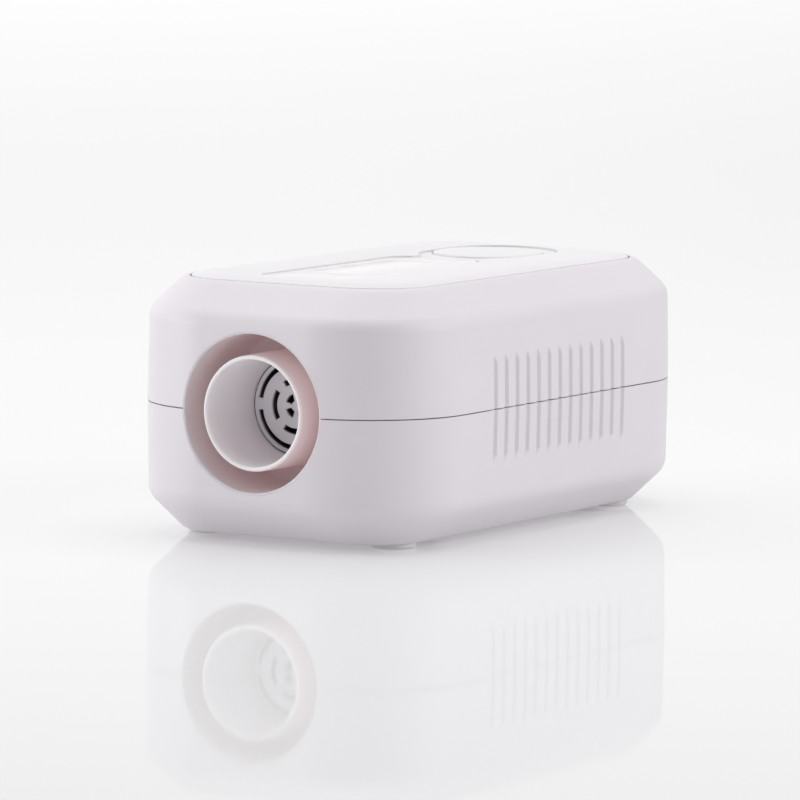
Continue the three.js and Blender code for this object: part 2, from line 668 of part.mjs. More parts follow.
function blowerMount([x, y]) {
  const [inner, core, flange] = [1.95, 3, 4];
  return turned(x, y, [
    [inner, 18.8], [flange, 18.8], [flange, 19.7], [core, 19.7],
    [core, 22.1], [flange, 22.1], [flange, 23], [inner, 23],
  ], SIDES.tiny);
}

// ---------------------------------------------------------------- electronics, filter and wiring

function mainBoard() {
  const { left, right, front, rear, bottom } = BOARD;
  let body = plate(roundedShape(left, right, front, rear, 1.5), bottom, BOARD_TOP, 3);
  for (const y of [BOARD_SCREWS.front, BOARD_SCREWS.rear]) {
    body = cut(body, post(BOARD_SCREWS.x, y, 1.4, 0, FAR, SIDES.tiny));
  }
  return body;
}

function boardScrew(y) {
  return turned(BOARD_SCREWS.x, y, [
    [0, 4.4], [1, 4.8], [1, PARTS_Z], [2.2, PARTS_Z], [2.2, PARTS_Z + 0.7],
    [1.4, PARTS_Z + 1.4], [0, PARTS_Z + 1.4],
  ], SIDES.tiny);
}

const chip = (x, y, halfX, halfY, height) =>
  block(x - halfX, x + halfX, y - halfY, y + halfY, PARTS_Z, PARTS_Z + height);

function pressureSensor() {
  const nipple = post(10.5, -23.6, 1.3, BOARD_TOP + 1, BOARD_TOP + 5.5, SIDES.tiny);
  return join(chip(10.5, -22, 3.5, 3.4, 2.6), nipple);
}

// A can with a rolled groove near its foot.
function capacitor(x, y) {
  const profile = [[0, 0], [3.9, 0], [3.9, 1], [3.7, 1.4], [4, 1.8], [4, 9.2], [3.6, 9.6], [0, 9.6]];
  return turned(x, y, profile.map(([r, z]) => [r, PARTS_Z + z]), SIDES.small);
}

function dcSocket() {
  const back = 44;
  const body = join(
    block(DC.x - 4.5, DC.x + 4.5, back, 55.3, PARTS_Z, DC.z + 4.9),
    rod(DC.x, DC.z, DC.radius, 55, REAR - 0.2),
  );
  return cut(body, rod(DC.x, DC.z, DC.bore, back + 2.4, REAR + 1));
}

const dcPin = () => rod(DC.x, DC.z, 1, 46.5, REAR - 1.2, SIDES.tiny);

function usbSocket() {
  const { x, z, halfX, halfZ } = USB;
  const front = 50.4;
  const sleeve = (inset) =>
    roundedShape(x - halfX + inset, x + halfX - inset, z - halfZ + inset, z + halfZ - inset, 1.4 - inset);
  const shell = panel(sleeve(0), front, REAR - 0.3);
  const bay = panel(sleeve(0.5), front + 1, REAR);
  const tongue = block(x - 3.3, x + 3.3, front + 0.5, REAR - 1.5, z - 0.35, z + 0.35);
  return join(cut(shell, bay), tongue);
}

function filterCover() {
  const { plate: thick, frame, slots, slotPitch, low, high } = FILTER;
  const skin = panel(filterShape(-GAP), REAR - 6, REAR + 2, 4).intersect(outerForm());
  const face = cut(skin, block(-FAR, FAR, 0, REAR - thick - 0.4, 0, FAR));
  const inner = REAR - thick - frame;
  const wall = cut(
    panel(filterShape(-0.8), inner, REAR - thick, 4),
    panel(filterShape(-2), inner - 1, REAR - thick - 0.4, 4),
  );
  let body = join(face, wall);
  for (let k = 0; k < slots; k++) {
    const x = (k - (slots - 1) / 2) * slotPitch;
    const slot = roundedShape(x - 0.9, x + 0.9, low + 2.6, high - 2.6, 0.85);
    body = cut(body, panel(slot, REAR - 8, REAR + 2));
  }
  return body;
}

function filterPad() {
  const { plate: thick, frame } = FILTER;
  return panel(filterShape(-2.3), REAR - thick - frame + 0.2, REAR - thick - 0.7);
}

function silencerFoam() {
  return cut(block(-11.5, 16, 27, 49, 22, 39), block(-5, 9.5, 20, 60, 28, 50));
}

// A round cable or hose along a smooth curve through points.
function cable(points, radius, steps, sides = 8) {
  const curve = new THREE.CatmullRomCurve3(points.map((p) => new THREE.Vector3(...p)));
  const section = new THREE.Shape(
    Array.from({ length: sides }, (_, k) => {
      const a = (2 * Math.PI * k) / sides;
      return new THREE.Vector2(radius * Math.cos(a), radius * Math.sin(a));
    }),
  );
  return solid(new THREE.ExtrudeGeometry(section, { steps, extrudePath: curve, bevelEnabled: false }));
}

// From the outlet's pressure tap down to the sensor.
const TUBE_PATH = [
  [13, -33.2, 19.5], [13, -30, 19.5], [12.2, -26.4, 19.2],
  [11, -24, 18], [10.5, -23.6, 16.7], [10.5, -23.6, 15.4],
];
const pressureTube = () => cable(TUBE_PATH, 1.5, 16);

// Out of the motor's cap, over the edge of the blower and down to the connector.
const CABLE_PATH = [
  [-3.9, -1.5, 36.3], [-7, -0.5, 36], [-12.5, 4, 34.6], [-16.6, 9.5, 29],
  [-16.8, 12, 20], [-13, 13, 14.4], [-10, 13, 13.6],
];
const motorCable = () => cable(CABLE_PATH, 1.1, 24);

// The flat flex from the button board down to the main board.
function ribbonCable() {
  const [x, y, halfY] = [-14.6, 30, 5];
  const low = PARTS_Z;
  const profile = [
    [-11.5, 42.3], [x - 0.6, 42.3], [x - 0.9, 42],
    [x - 0.9, low + 1.2], [x - 0.4, low + 0.6], [-8, low + 0.6],
    [-8, low], [x - 0.7, low], [x - 1.3, low + 0.8], [x - 1.3, 42.2], [x - 0.8, 42.4], [-11.5, 42.4],
  ];
  const flat = profile.reverse().map(([px, pz]) => new THREE.Vector2(px, pz));
  return panel(new THREE.Shape(flat), y - halfY, y + halfY);
}

// ---------------------------------------------------------------- the assembly

const part = new THREE.Group();

function add(name, body, material) {
  const mesh = new THREE.Mesh(geometryOf(body), material);
  mesh.name = name;
  part.add(mesh);
}

add("top_cover", topCover(), CASE_WHITE);
add("bottom_case", bottomCase(), CASE_WHITE);
for (const [corner, [sx, sy]] of Object.entries(CORNERS)) {
  add(`foot_${corner}`, foot(sx * FOOT.x, sy * FOOT.y), FOOT_RUBBER);
  add(`case_screw_${corner}`, caseScrew(sx * BOSS.x, sy * BOSS.y), SCREW_STEEL);
}

add("control_deck", controlDeck(), DECK_WHITE);
add("control_overlay", controlOverlay(), OVERLAY_WHITE);
add("display_lens", displayLens(), SMOKED_LENS);
add("display_module", displayModule(), BLACK_PLASTIC);
add("front_button", crescentButton(-1, PLUNGER_Y.front), BUTTON_WHITE);
add("centre_button", centreButton(), BUTTON_WHITE);
add("rear_button", crescentButton(1, PLUNGER_Y.rear), BUTTON_WHITE);
add("button_board", buttonBoard(), BOARD_GREEN);
for (const [place, y] of Object.entries(PLUNGER_Y)) {
  add(`${place}_switch`, switchBody(y), BLACK_PLASTIC);
  add(`${place}_plunger`, switchPlunger(y), GREY_PLASTIC);
}

add("outlet_port", outletPort(), PORT_WHITE);
add("outlet_grille", outletGrille(), PORT_WHITE);
add("outlet_coupling", outletCoupling(), SILICONE);

add("blower_lower_casing", lowerCasing(), GREY_PLASTIC);
add("blower_upper_casing", upperCasing(), GREY_PLASTIC);
add("impeller", impeller(), BLACK_PLASTIC);
add("motor_shaft", motorShaft(), SCREW_STEEL);
add("rotor_magnet", rotorMagnet(), MAGNET);
add("lower_bearing", bearing(BLOWER.top + 0.5), SCREW_STEEL);
add("upper_bearing", bearing(40.9), SCREW_STEEL);
add("stator_core", statorCore(), LAMINATION);
add("stator_windings", statorWindings(), COPPER);
add("motor_cap", motorCap(), LAMINATION);
for (const [place, at] of Object.entries(MOUNTS)) add(`blower_mount_${place}`, blowerMount(at), SILICONE);

add("main_board", mainBoard(), BOARD_GREEN);
for (const place of ["front", "rear"]) {
  add(`board_screw_${place}`, boardScrew(BOARD_SCREWS[place]), SCREW_STEEL);
}
add("processor_chip", chip(2, 29, 5, 5, 1.2), BLACK_PLASTIC);
add("motor_driver_chip", chip(-7, 3, 3.5, 2.6, 1.4), BLACK_PLASTIC);
add("motor_connector", chip(-9.3, 13, 2.6, 4, 2.6), GREY_PLASTIC);
add("pressure_sensor", pressureSensor(), GREY_PLASTIC);
add("capacitor_left", capacitor(-7, 39.6), MAGNET);
add("capacitor_right", capacitor(11.5, 40), MAGNET);
add("dc_socket", dcSocket(), BLACK_PLASTIC);
add("dc_pin", dcPin(), SCREW_STEEL);
add("usb_socket", usbSocket(), SCREW_STEEL);

add("filter_cover", filterCover(), CASE_WHITE);
add("filter_pad", filterPad(), FILTER_FOAM);
add("silencer_foam", silencerFoam(), SILENCER);
add("pressure_tube", pressureTube(), SILICONE);
add("motor_cable", motorCable(), WIRE_BLUE);
add("ribbon_cable", ribbonCable(), RIBBON_AMBER);

export default part;
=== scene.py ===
"""The looks of the portable ventilator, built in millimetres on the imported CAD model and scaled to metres."""
import json
import math

import bmesh
import bpy
from mathutils import Matrix, Vector


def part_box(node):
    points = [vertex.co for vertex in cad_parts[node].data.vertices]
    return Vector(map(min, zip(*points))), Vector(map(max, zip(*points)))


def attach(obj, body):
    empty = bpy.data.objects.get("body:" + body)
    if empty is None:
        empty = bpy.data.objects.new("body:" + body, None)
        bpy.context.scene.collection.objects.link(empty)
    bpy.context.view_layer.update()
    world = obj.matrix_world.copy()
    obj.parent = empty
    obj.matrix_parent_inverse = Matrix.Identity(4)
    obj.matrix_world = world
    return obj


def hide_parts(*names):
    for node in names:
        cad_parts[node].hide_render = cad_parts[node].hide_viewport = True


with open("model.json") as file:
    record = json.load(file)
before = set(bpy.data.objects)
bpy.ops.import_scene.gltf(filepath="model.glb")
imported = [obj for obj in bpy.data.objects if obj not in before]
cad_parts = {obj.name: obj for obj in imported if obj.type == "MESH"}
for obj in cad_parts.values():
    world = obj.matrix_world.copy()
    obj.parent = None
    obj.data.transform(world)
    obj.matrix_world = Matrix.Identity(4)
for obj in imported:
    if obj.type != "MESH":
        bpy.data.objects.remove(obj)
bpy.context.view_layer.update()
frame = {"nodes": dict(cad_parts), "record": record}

MM = 0.001


def cad(node):
    """The lowest and highest corner of a CAD node, in millimetres."""
    low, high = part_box(node)
    return low / MM, high / MM


# ---------------------------------------------------------------- sizes, from the CAD model

TOP_LOW, TOP_HIGH = cad("top_cover")
HALF_X = TOP_HIGH.x  # half the case's width at the seam
HALF_Y = TOP_HIGH.y  # half its length
SEAM_GAP = 0.19
SEAM_DEPTH = 1.5  # how deep the seam is; the grooves have to stay shallower than this
SEAM_Z = TOP_LOW.z - SEAM_GAP / 2
BASE_Z = cad("bottom_case")[0].z
DECK_Z = cad("control_deck")[1].z

CORNER = 22.0  # plan radius of the case's corners at the seam
DRAFT = 0.3  # how far the wall leans in from the seam to its end
BAND_HALF = 17.8  # half the height of the upright wall
WALL = 2.2
RIM_Z = TOP_HIGH.z
RIM = dict(ix=6.4, iy=8.4, r=14.0)  # plan of the top rim: inset from the seam's outline, and corner radius
SOLE = dict(ix=8.1, iy=9.1, r=10.0)  # the same for the underside
SHOULDER = 1.0  # from the rim's outline to the pocket that holds the deck
DECK_GAP = 0.42  # round the deck, in that pocket
LEDGE_Z = DECK_Z - 2.3  # the pocket's bottom
EDGE = 1.7  # how far the soft edges between wall and chamfer reach

GROOVES = 13  # on each side
GROOVE_PITCH = 4.0
GROOVE_HALF = 10.5  # how far they reach above and below the seam
GROOVE_FRONT = 0.8  # from a groove's place in the row to its steep front edge
GROOVE_RAMP = 1.35  # a groove's width, most of it a ramp
GROOVE_DEPTH = 1.3
GROOVE_END = 1.7  # the height over which its ends run out

CUP_RADIUS = 15.05  # the recess round the nozzle
LIP_RADIUS = 15.38  # the outer edge of its lip
CUP_OUTER = 16.0  # behind the case's wall
RIM_BACK = 0.6  # from the case's front to the nozzle's rim
NOZZLE_RADIUS = 11.0
MOUTH_RADIUS = 10.2

# ---------------------------------------------------------------- meshes

SHARP = 40.0  # degrees, above which an edge is shaded sharp


def shade(mesh, sharp=SHARP):
    """Smooth shading, but for edges sharper than the angle."""
    mesh.polygons.foreach_set("use_smooth", [True] * len(mesh.polygons))
    mesh.set_sharp_from_angle(angle=math.radians(sharp))


def finish_mesh(name, bm, sharp=SHARP):
    """A mesh object in metres from a bmesh in millimetres, smooth but for edges sharper than the angle."""
    bmesh.ops.remove_doubles(bm, verts=bm.verts, dist=1e-4)
    bmesh.ops.recalc_face_normals(bm, faces=bm.faces)
    bm.transform(Matrix.Scale(MM, 4))
    mesh = bpy.data.meshes.new(name)
    bm.to_mesh(mesh)
    bm.free()
    shade(mesh, sharp)
    piece = bpy.data.objects.new(name, mesh)
    bpy.context.scene.collection.objects.link(piece)
    return piece


def tool(bm):
    """A mesh that only shapes another piece. carve uses it up."""
    return finish_mesh("cut", bm)


def bridge(bm, a, b):
    """Faces between two closed rows of points."""
    for k in range(len(a)):
        n = (k + 1) % len(a)
        bm.faces.new((a[k], a[n], b[n], b[k]))


def skin(rings, loop=False):
    """A bmesh through closed rings of points, with both ends closed, or joined to each other by loop."""
    bm = bmesh.new()
    rows = [[bm.verts.new(p) for p in ring] for ring in rings]
    for a, b in zip(rows, rows[1:]):
        bridge(bm, a, b)
    if loop:
        bridge(bm, rows[-1], rows[0])
    else:
        bm.faces.new(reversed(rows[0]))
        bm.faces.new(rows[-1])
    return bm


def turned(profile, centre=(0, 0, 0), axis="Z", sides=96):
    """A closed profile of (radius, height), turned about an axis. Points on the axis close it there."""
    bm = bmesh.new()
    rows = []
    for r, h in profile:
        ring = []
        for k in range(sides if r > 1e-6 else 1):
            a = 2 * math.pi * k / sides
            c, s = r * math.cos(a), r * math.sin(a)
            local = (c, s, h) if axis == "Z" else (c, h, s)
            ring.append(bm.verts.new(Vector(centre) + Vector(local)))
        rows.append(ring)
    for a, b in zip(rows, rows[1:] + rows[:1]):
        if len(a) == len(b):
            if len(a) > 1:
                bridge(bm, a, b)
            continue
        for k in range(sides):
            n = (k + 1) % sides
            bm.faces.new((a[0], b[n], b[k]) if len(a) == 1 else (a[k], a[n], b[0]))
    return bm


def cylinder(radius, low, high):
    """The profile of a plain cylinder."""
    return [(0, low), (radius, low), (radius, high), (0, high)]


def pipe(inner, outer, low, high):
    """The profile of a plain tube."""
    return [(inner, low), (outer, low), (outer, high), (inner, high)]


def bend(start, corner, end, steps):
    """Points on a soft bend, from its start to its end."""
    start, corner, end = Vector(start), Vector(corner), Vector(end)
    span = [k / steps for k in range(steps + 1)]
    return [tuple(start * (1 - t) ** 2 + corner * (2 * t * (1 - t)) + end * t**2) for t in span]


def softened(profile, reach=0.15):
    """A closed (radius, height) profile with round corners. Corners on the axis are left as they are."""
    made = []
    for before, here, after in zip(profile[-1:] + profile[:-1], profile, profile[1:] + profile[:1]):
        if here[0] < 1e-6:
            made.append(here)
            continue
        corner, back, on = Vector(here), Vector(before) - Vector(here), Vector(after) - Vector(here)
        start = corner + back.normalized() * min(reach, back.length * 0.4)
        end = corner + on.normalized() * min(reach, on.length * 0.4)
        made += bend(start, corner, end, 3)
    return made


def block(low, high, edge=0.15):
    """A box between two corners with bevelled edges."""
    bm = bmesh.new()
    bmesh.ops.create_cube(bm, size=1)
    size = [h - l for l, h in zip(low, high)]
    centre = [(l + h) / 2 for l, h in zip(low, high)]
    bm.transform(Matrix.Translation(centre) @ Matrix.Diagonal((*size, 1)))
    if edge:
        bmesh.ops.bevel(bm, geom=bm.edges[:], offset=edge, segments=3, profile=0.5, affect="EDGES")
    return bm


def swept(path, radius):
    """A round rod along a smooth curve through the points of a path."""
    sides, steps = 20, 10
    points = [Vector(p) for p in path]
    points = [2 * points[0] - points[1]] + points + [2 * points[-1] - points[-2]]
    spine = []
    for a, b, c, d in zip(points, points[1:], points[2:], points[3:]):
        for k in range(steps):
            t = k / steps
            spine.append(0.5 * (2 * b + (c - a) * t + (2 * a - 5 * b + 4 * c - d) * t**2
                                + (3 * b - a - 3 * c + d) * t**3))
    spine.append(points[-2])
    side = (spine[1] - spine[0]).orthogonal().normalized()
    rings = []
    for k, here in enumerate(spine):
        along = (spine[min(k + 1, len(spine) - 1)] - spine[max(k - 1, 0)]).normalized()
        side = (side - along * side.dot(along)).normalized()
        across = along.cross(side)
        turns = [2 * math.pi * i / sides for i in range(sides)]
        rings.append([here + (side * math.cos(a) + across * math.sin(a)) * radius for a in turns])
    return skin(rings)


def arc(cx, cy, r, start, end, steps):
    """Points on an arc, angles in degrees."""
    span = [math.radians(start + (end - start) * k / steps) for k in range(steps + 1)]
    return [(cx + r * math.cos(a), cy + r * math.sin(a)) for a in span]


def rounded_rectangle(x0, x1, y0, y1, r, steps=10):
    """A closed outline with round corners."""
    corners = ((x1 - r, y1 - r, 0), (x0 + r, y1 - r, 90), (x0 + r, y0 + r, 180), (x1 - r, y0 + r, 270))
    return [p for cx, cy, a in corners for p in arc(cx, cy, r, a, a + 90, steps)]


def signed_area(points):
    """The area inside an outline, negative if it runs clockwise."""
    return sum(a[0] * b[1] - b[0] * a[1] for a, b in zip(points, points[1:] + points[:1])) / 2


def grown(points, distance):
    """An outline moved outwards by a distance, or inwards if it is negative."""
    turn = 1 if signed_area(points) > 0 else -1
    moved = []
    for before, here, after in zip(points[-1:] + points[:-1], points, points[1:] + points[:1]):
        e1 = Vector((here[0] - before[0], here[1] - before[1])).normalized()
        e2 = Vector((after[0] - here[0], after[1] - here[1])).normalized()
        n = Vector((e1.y + e2.y, -e1.x - e2.x)) * turn
        if n.length < 1e-6:
            moved.append(here)
            continue
        n.normalize()
        miter = max(0.5, n.dot(Vector((e1.y, -e1.x)) * turn))
        moved.append((here[0] + n.x * distance / miter, here[1] + n.y * distance / miter))
    return moved


def spaced(points, least=1e-3):
    """The outline without points that lie on the one before."""
    return [p for p, q in zip(points, points[-1:] + points[:-1]) if math.dist(p, q) > least]


def quarter_turn(steps):
    """Angles from nothing to a right angle."""
    return [math.pi / 2 * k / steps for k in range(steps + 1)]


def round_edge(low, high, edge, out=-1):
    """Offsets and heights up a side whose upper edge is round. out is 1 for the side of a hole."""
    turns = quarter_turn(4)
    return [(0.0, low)] + [(out * edge * (1 - math.cos(a)), high - edge * (1 - math.sin(a))) for a in turns]


def as_drawn(x, y, z):
    """Leaves a flat piece lying level."""
    return (x, y, z)


def through_wall(x, y, z):
    """Turns a flat outline of (x, z) and a depth into a place in the rear wall."""
    return (x, z, y)


def slab(walls, place=as_drawn):
    """A flat piece: its outline, then those of its holes, each with the offsets and heights up its side."""
    bm = bmesh.new()
    ends = ([], [])
    for flat, levels in walls:
        flat = spaced(flat)
        rows = []
        for offset, z in levels:
            rows.append([bm.verts.new(place(x, y, z)) for x, y in grown(flat, offset)])
        for a, b in zip(rows, rows[1:]):
            bridge(bm, a, b)
        ends[0].append(rows[0])
        ends[1].append(rows[-1])
    for rows in ends:
        edges = [bm.edges.get((row[k], row[(k + 1) % len(row)])) for row in rows for k in range(len(row))]
        bmesh.ops.triangle_fill(bm, use_beauty=True, edges=edges)
    return bm


def plate(outer, low, high, edge=0.15, holes=(), place=as_drawn):
    """A flat piece between two heights whose upper edges are round."""
    walls = [(outer, round_edge(low, high, edge))]
    walls += [(hole, round_edge(low, high, edge, out=1)) for hole in holes]
    return slab(walls, place)


def evaluated(piece):
    """Replaces the piece's mesh with what its modifiers make of it."""
    graph = bpy.context.evaluated_depsgraph_get()
    final = piece.evaluated_get(graph)
    mesh = bpy.data.meshes.new_from_object(final, preserve_all_data_layers=True, depsgraph=graph)
    piece.modifiers.clear()
    old, piece.data = piece.data, mesh
    bpy.data.meshes.remove(old)


def carve(piece, *cutters, operation="DIFFERENCE"):
    """Cuts the pieces away, or joins them on, and keeps smooth shading."""
    for cutter in cutters:
        boolean = piece.modifiers.new("carve", "BOOLEAN")
        boolean.operation = operation
        boolean.solver = "EXACT"
        boolean.object = cutter
    evaluated(piece)
    for cutter in cutters:
        mesh = cutter.data
        bpy.data.objects.remove(cutter)
        bpy.data.meshes.remove(mesh)
    shade(piece.data)
    return piece


def even_shading(piece):
    """Lets the large faces set the shading along soft edges."""
    weighted = piece.modifiers.new("even_shading", "WEIGHTED_NORMAL")
    weighted.weight = 80
    weighted.keep_sharp = True
    evaluated(piece)
    return piece


# ---------------------------------------------------------------- materials


def shader(name, colour, roughness, metallic=0.0, **inputs):
    """A node material with its main shader. Extra inputs are constants on the shader's own sockets."""
    material = bpy.data.materials.new(name)
    material.use_nodes = True
    main = material.node_tree.nodes["Principled BSDF"]
    main.inputs["Base Color"].default_value = (*colour, 1)
    main.inputs["Roughness"].default_value = roughness
    main.inputs["Metallic"].default_value = metallic
    for socket, value in inputs.items():
        main.inputs[socket.replace("_", " ")].default_value = value
    return material, main


def feed(material, socket, value):
    """Gives an input a value, or links another socket to it."""
    if isinstance(value, bpy.types.NodeSocket):
        material.node_tree.links.new(value, socket)
    else:
        socket.default_value = value


def node(material, kind, **settings):
    """A new shader node. A setting goes to the input of that name, or else to the node itself."""
    made = material.node_tree.nodes.new("ShaderNode" + kind)
    for key, value in settings.items():
        if key in made.inputs.keys():
            feed(material, made.inputs[key], value)
        else:
            setattr(made, key, value)
    return made


def calculated(material, kind, operation, *values, result="Value"):
    """The result of a maths node, whose inputs are values or sockets."""
    made = node(material, kind, operation=operation)
    for socket, value in zip(made.inputs, values):
        feed(material, socket, value)
    return made.outputs[result]


def noise(material, scale, detail, stretch=(1, 1, 1)):
    """Noise in the object's own coordinates; scale is the size of one patch in millimetres."""
    place = node(material, "TexCoord").outputs["Object"]
    mapping = node(material, "Mapping", Vector=place, Scale=[s / (scale * MM) for s in stretch])
    texture = node(material, "TexNoise", Vector=mapping.outputs["Vector"], Scale=1.0, Detail=detail)
    return texture.outputs["Fac"]


def mapped(material, factor, low, high, first=0.0, last=1.0):
    """Goes from the first value to the last as the factor runs from low to high."""
    ramp = node(material, "MapRange", clamp=True, Value=factor)
    for socket, value in (("From Min", low), ("From Max", high), ("To Min", first), ("To Max", last)):
        ramp.inputs[socket].default_value = value
    return ramp.outputs["Result"]


def blend(material, factor, low, high, first, second):
    """Goes from one colour to another, each a value or a socket, as the factor runs from low to high."""
    mix = node(material, "Mix", data_type="RGBA")
    feed(material, mix.inputs["Factor"], mapped(material, factor, low, high))
    for name, colour in (("A", first), ("B", second)):
        feed(material, mix.inputs[name], (*colour, 1) if isinstance(colour, tuple) else colour)
    return mix.outputs["Result"]


def tint(material, main, factor, dark, light, low=0.35, high=0.65):
    """Colour between two tones, as the factor runs from low to high."""
    feed(material, main.inputs["Base Color"], blend(material, factor, low, high, dark, light))


def vary_roughness(material, main, factor, low, high):
    """Gloss between two values, which follows the factor."""
    feed(material, main.inputs["Roughness"], mapped(material, factor, 0.3, 0.7, low, high))


def bumped(material, main, height, depth):
    """Bump whose full height is depth, in millimetres."""
    bump = node(material, "Bump", Height=height, Distance=depth * MM)
    feed(material, main.inputs["Normal"], bump.outputs["Normal"])


def scaled(colour, factor):
    """The colour, lighter or darker."""
    return tuple(c * factor for c in colour)


def moulded(name, colour, roughness, grain=0.22, depth=0.004, spread=0.02, **inputs):
    """Injection-moulded plastic: spark-eroded grain, faint flow marks and uneven gloss."""
    material, main = shader(name, colour, roughness, **inputs)
    flow = noise(material, 26, detail=2)
    tint(material, main, flow, scaled(colour, 1 - spread), colour)
    vary_roughness(material, main, noise(material, 5, detail=4), roughness - 0.03, roughness + 0.04)
    bumped(material, main, noise(material, grain, detail=2), depth)
    return material


def metal(name, colour, roughness, stretch=(1, 1, 0.05), grain=0.5):
    """Metal with a fine directional finish."""
    material, main = shader(name, colour, roughness, metallic=1.0)
    brushed = noise(material, grain, detail=4, stretch=stretch)
    tint(material, main, brushed, scaled(colour, 0.85), colour)
    vary_roughness(material, main, brushed, roughness - 0.06, roughness + 0.1)
    bumped(material, main, brushed, 0.004)
    return material


def foam(name, colour, cell):
    """Open-cell foam, with painted shade in its pores."""
    material, main = shader(name, colour, 0.95)
    place = node(material, "TexCoord").outputs["Object"]
    cells = node(material, "TexVoronoi", Vector=place, Scale=1 / (cell * MM)).outputs["Distance"]
    # Painted shade: each cell is darker towards its middle, where the pores lie in shade.
    tint(material, main, cells, scaled(colour, 0.35), colour, 0.1, 0.6)
    bumped(material, main, cells, 0.25 * cell)
    return material


CASE_COLOUR = (0.815, 0.772, 0.815)


def port_plastic():
    """The outlet's plastic, with light and shade painted into it: a painted highlight at the nozzle's mouth,
    painted warm light in the recess, painted shade behind the grille.
    """
    material, main = shader("port_white", CASE_COLOUR, 0.36)
    place = node(material, "TexCoord").outputs["Object"]
    depth = node(material, "SeparateXYZ", Vector=place).outputs["Y"]
    centre = (0, 0, -SEAM_Z * MM)
    flat = calculated(material, "VectorMath", "MULTIPLY_ADD", place, (1, 0, 1), centre, result="Vector")
    radius = calculated(material, "VectorMath", "LENGTH", flat)
    front = -HALF_Y
    inside = (10.5 * MM, 11.0 * MM)
    # Painted warm light: the recess is tinted pinker than the inside of the nozzle, though both are the same
    # plastic.
    body = blend(material, radius, *inside, (0.90, 0.855, 0.88), (0.89, 0.81, 0.82))
    # Painted highlight: near the front, the nozzle's rim is lighter than the case's colour.
    mouth = blend(material, radius, 12 * MM, 13 * MM, (0.95, 0.93, 0.94), CASE_COLOUR)
    # The painted highlight near the front, and the painted warm light further in.
    painted_light_tone = blend(material, depth, (front + 0.4) * MM, (front + 1.4) * MM, mouth, body)
    # Painted shade: behind the grille, the duct and the grille's slot walls turn near black.
    duct = blend(material, radius, 9.7 * MM, 10.2 * MM, (0.07, 0.055, 0.06), painted_light_tone)
    colour = blend(material, depth, (front + 15.9) * MM, (front + 16.6) * MM, painted_light_tone, duct)
    feed(material, main.inputs["Base Color"], colour)
    # This stands in for light through the thin white case. In the nozzle it fades out towards the grille.
    recess = (0.036, 0.020, 0.020)
    warm = blend(material, radius, *inside, (0.030, 0.026, 0.027), recess)
    deep = blend(material, radius, *inside, (0.0, 0.0, 0.0), recess)
    glow = blend(material, depth, (front + 10) * MM, (front + 15) * MM, warm, deep)
    feed(material, main.inputs["Emission Color"], glow)
    main.inputs["Emission Strength"].default_value = 1.0
    main.inputs["Subsurface Weight"].default_value = 0.4
    main.inputs["Subsurface Radius"].default_value = (1.0, 0.6, 0.55)
    main.inputs["Subsurface Scale"].default_value = 3 * MM
    vary_roughness(material, main, noise(material, 5, detail=4), 0.33, 0.4)
    bumped(material, main, noise(material, 0.22, detail=2), 0.003)
    return material


MATERIALS = {
    "case_white": moulded("case_white", CASE_COLOUR, 0.4),
    "deck_white": moulded("deck_white", (0.86, 0.84, 0.87), 0.38, grain=0.16),
    "overlay_white": moulded("overlay_white", (0.86, 0.835, 0.84), 0.22, grain=0.5, depth=0.001),
    "smoked_lens": moulded("smoked_lens", (0.855, 0.825, 0.83), 0.16, grain=1.5, depth=0.0005),
    "button_white": moulded("button_white", (0.86, 0.84, 0.86), 0.33, grain=0.18),
    "port_white": port_plastic(),
    "foot_rubber": moulded("foot_rubber", (0.80, 0.76, 0.77), 0.72, grain=0.3, depth=0.01),
    "screw_steel": metal("screw_steel", (0.62, 0.62, 0.64), 0.28),
    "black_plastic": moulded("black_plastic", (0.03, 0.03, 0.033), 0.42, spread=0.2),
    "grey_plastic": moulded("grey_plastic", (0.22, 0.23, 0.25), 0.45, spread=0.08),
    "silicone": moulded("silicone", (0.66, 0.63, 0.58), 0.55, grain=0.6, depth=0.006),
    "filter_foam": foam("filter_foam", (0.42, 0.48, 0.52), 0.7),
    "silencer": foam("silencer", (0.09, 0.09, 0.10), 1.1),
    "board_green": moulded("board_green", (0.02, 0.16, 0.08), 0.35, grain=1.2, depth=0.01, spread=0.3),
    "copper": metal("copper", (0.72, 0.36, 0.18), 0.3, stretch=(1, 1, 3), grain=0.35),
    "magnet": metal("magnet", (0.20, 0.20, 0.22), 0.35),
    "lamination": metal("lamination", (0.42, 0.43, 0.45), 0.4, stretch=(0.1, 0.1, 4), grain=0.5),
    "wire_blue": moulded("wire_blue", (0.03, 0.07, 0.25), 0.4, spread=0.15),
    "ribbon_amber": moulded("ribbon_amber", (0.62, 0.30, 0.06), 0.25, grain=0.8, spread=0.15),
}
SLOT_OF = {row["node"]: row["material_slot"] for row in frame["record"]["subparts"]}
BODY_OF = {n: body for body, nodes in frame["record"]["behaviour"]["bodies"].items() for n in nodes}


def dress(piece, name):
    """Gives a piece the finish of a CAD node."""
    piece.data.materials.clear()
    piece.data.materials.append(MATERIALS[SLOT_OF[name]])


def stand_for(made, name):
    """One piece or several take the place, the body and the finish of a CAD node."""
    for piece in made if isinstance(made, list) else [made]:
        dress(piece, name)
        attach(piece, BODY_OF[name])
        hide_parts(name)


# ---------------------------------------------------------------- the case's surface


def eased(stations, bends):
    """The stations with some bends rounded: bends[k] is how far that of station k reaches to each side."""
    made = [stations[0]]
    for k in range(1, len(stations) - 1):
        before, here, after = (Vector(s) for s in stations[k - 1 : k + 2])
        if k not in bends:
            made.append(tuple(here))
            continue
        legs = bends[k]
        start = here.lerp(before, legs[0] / math.dist(here[:2], before[:2]))
        end = here.lerp(after, legs[1] / math.dist(here[:2], after[:2]))
        made += bend(start, here, end, max(3, round(4 * max(legs))))
    made.append(stations[-1])
    return made


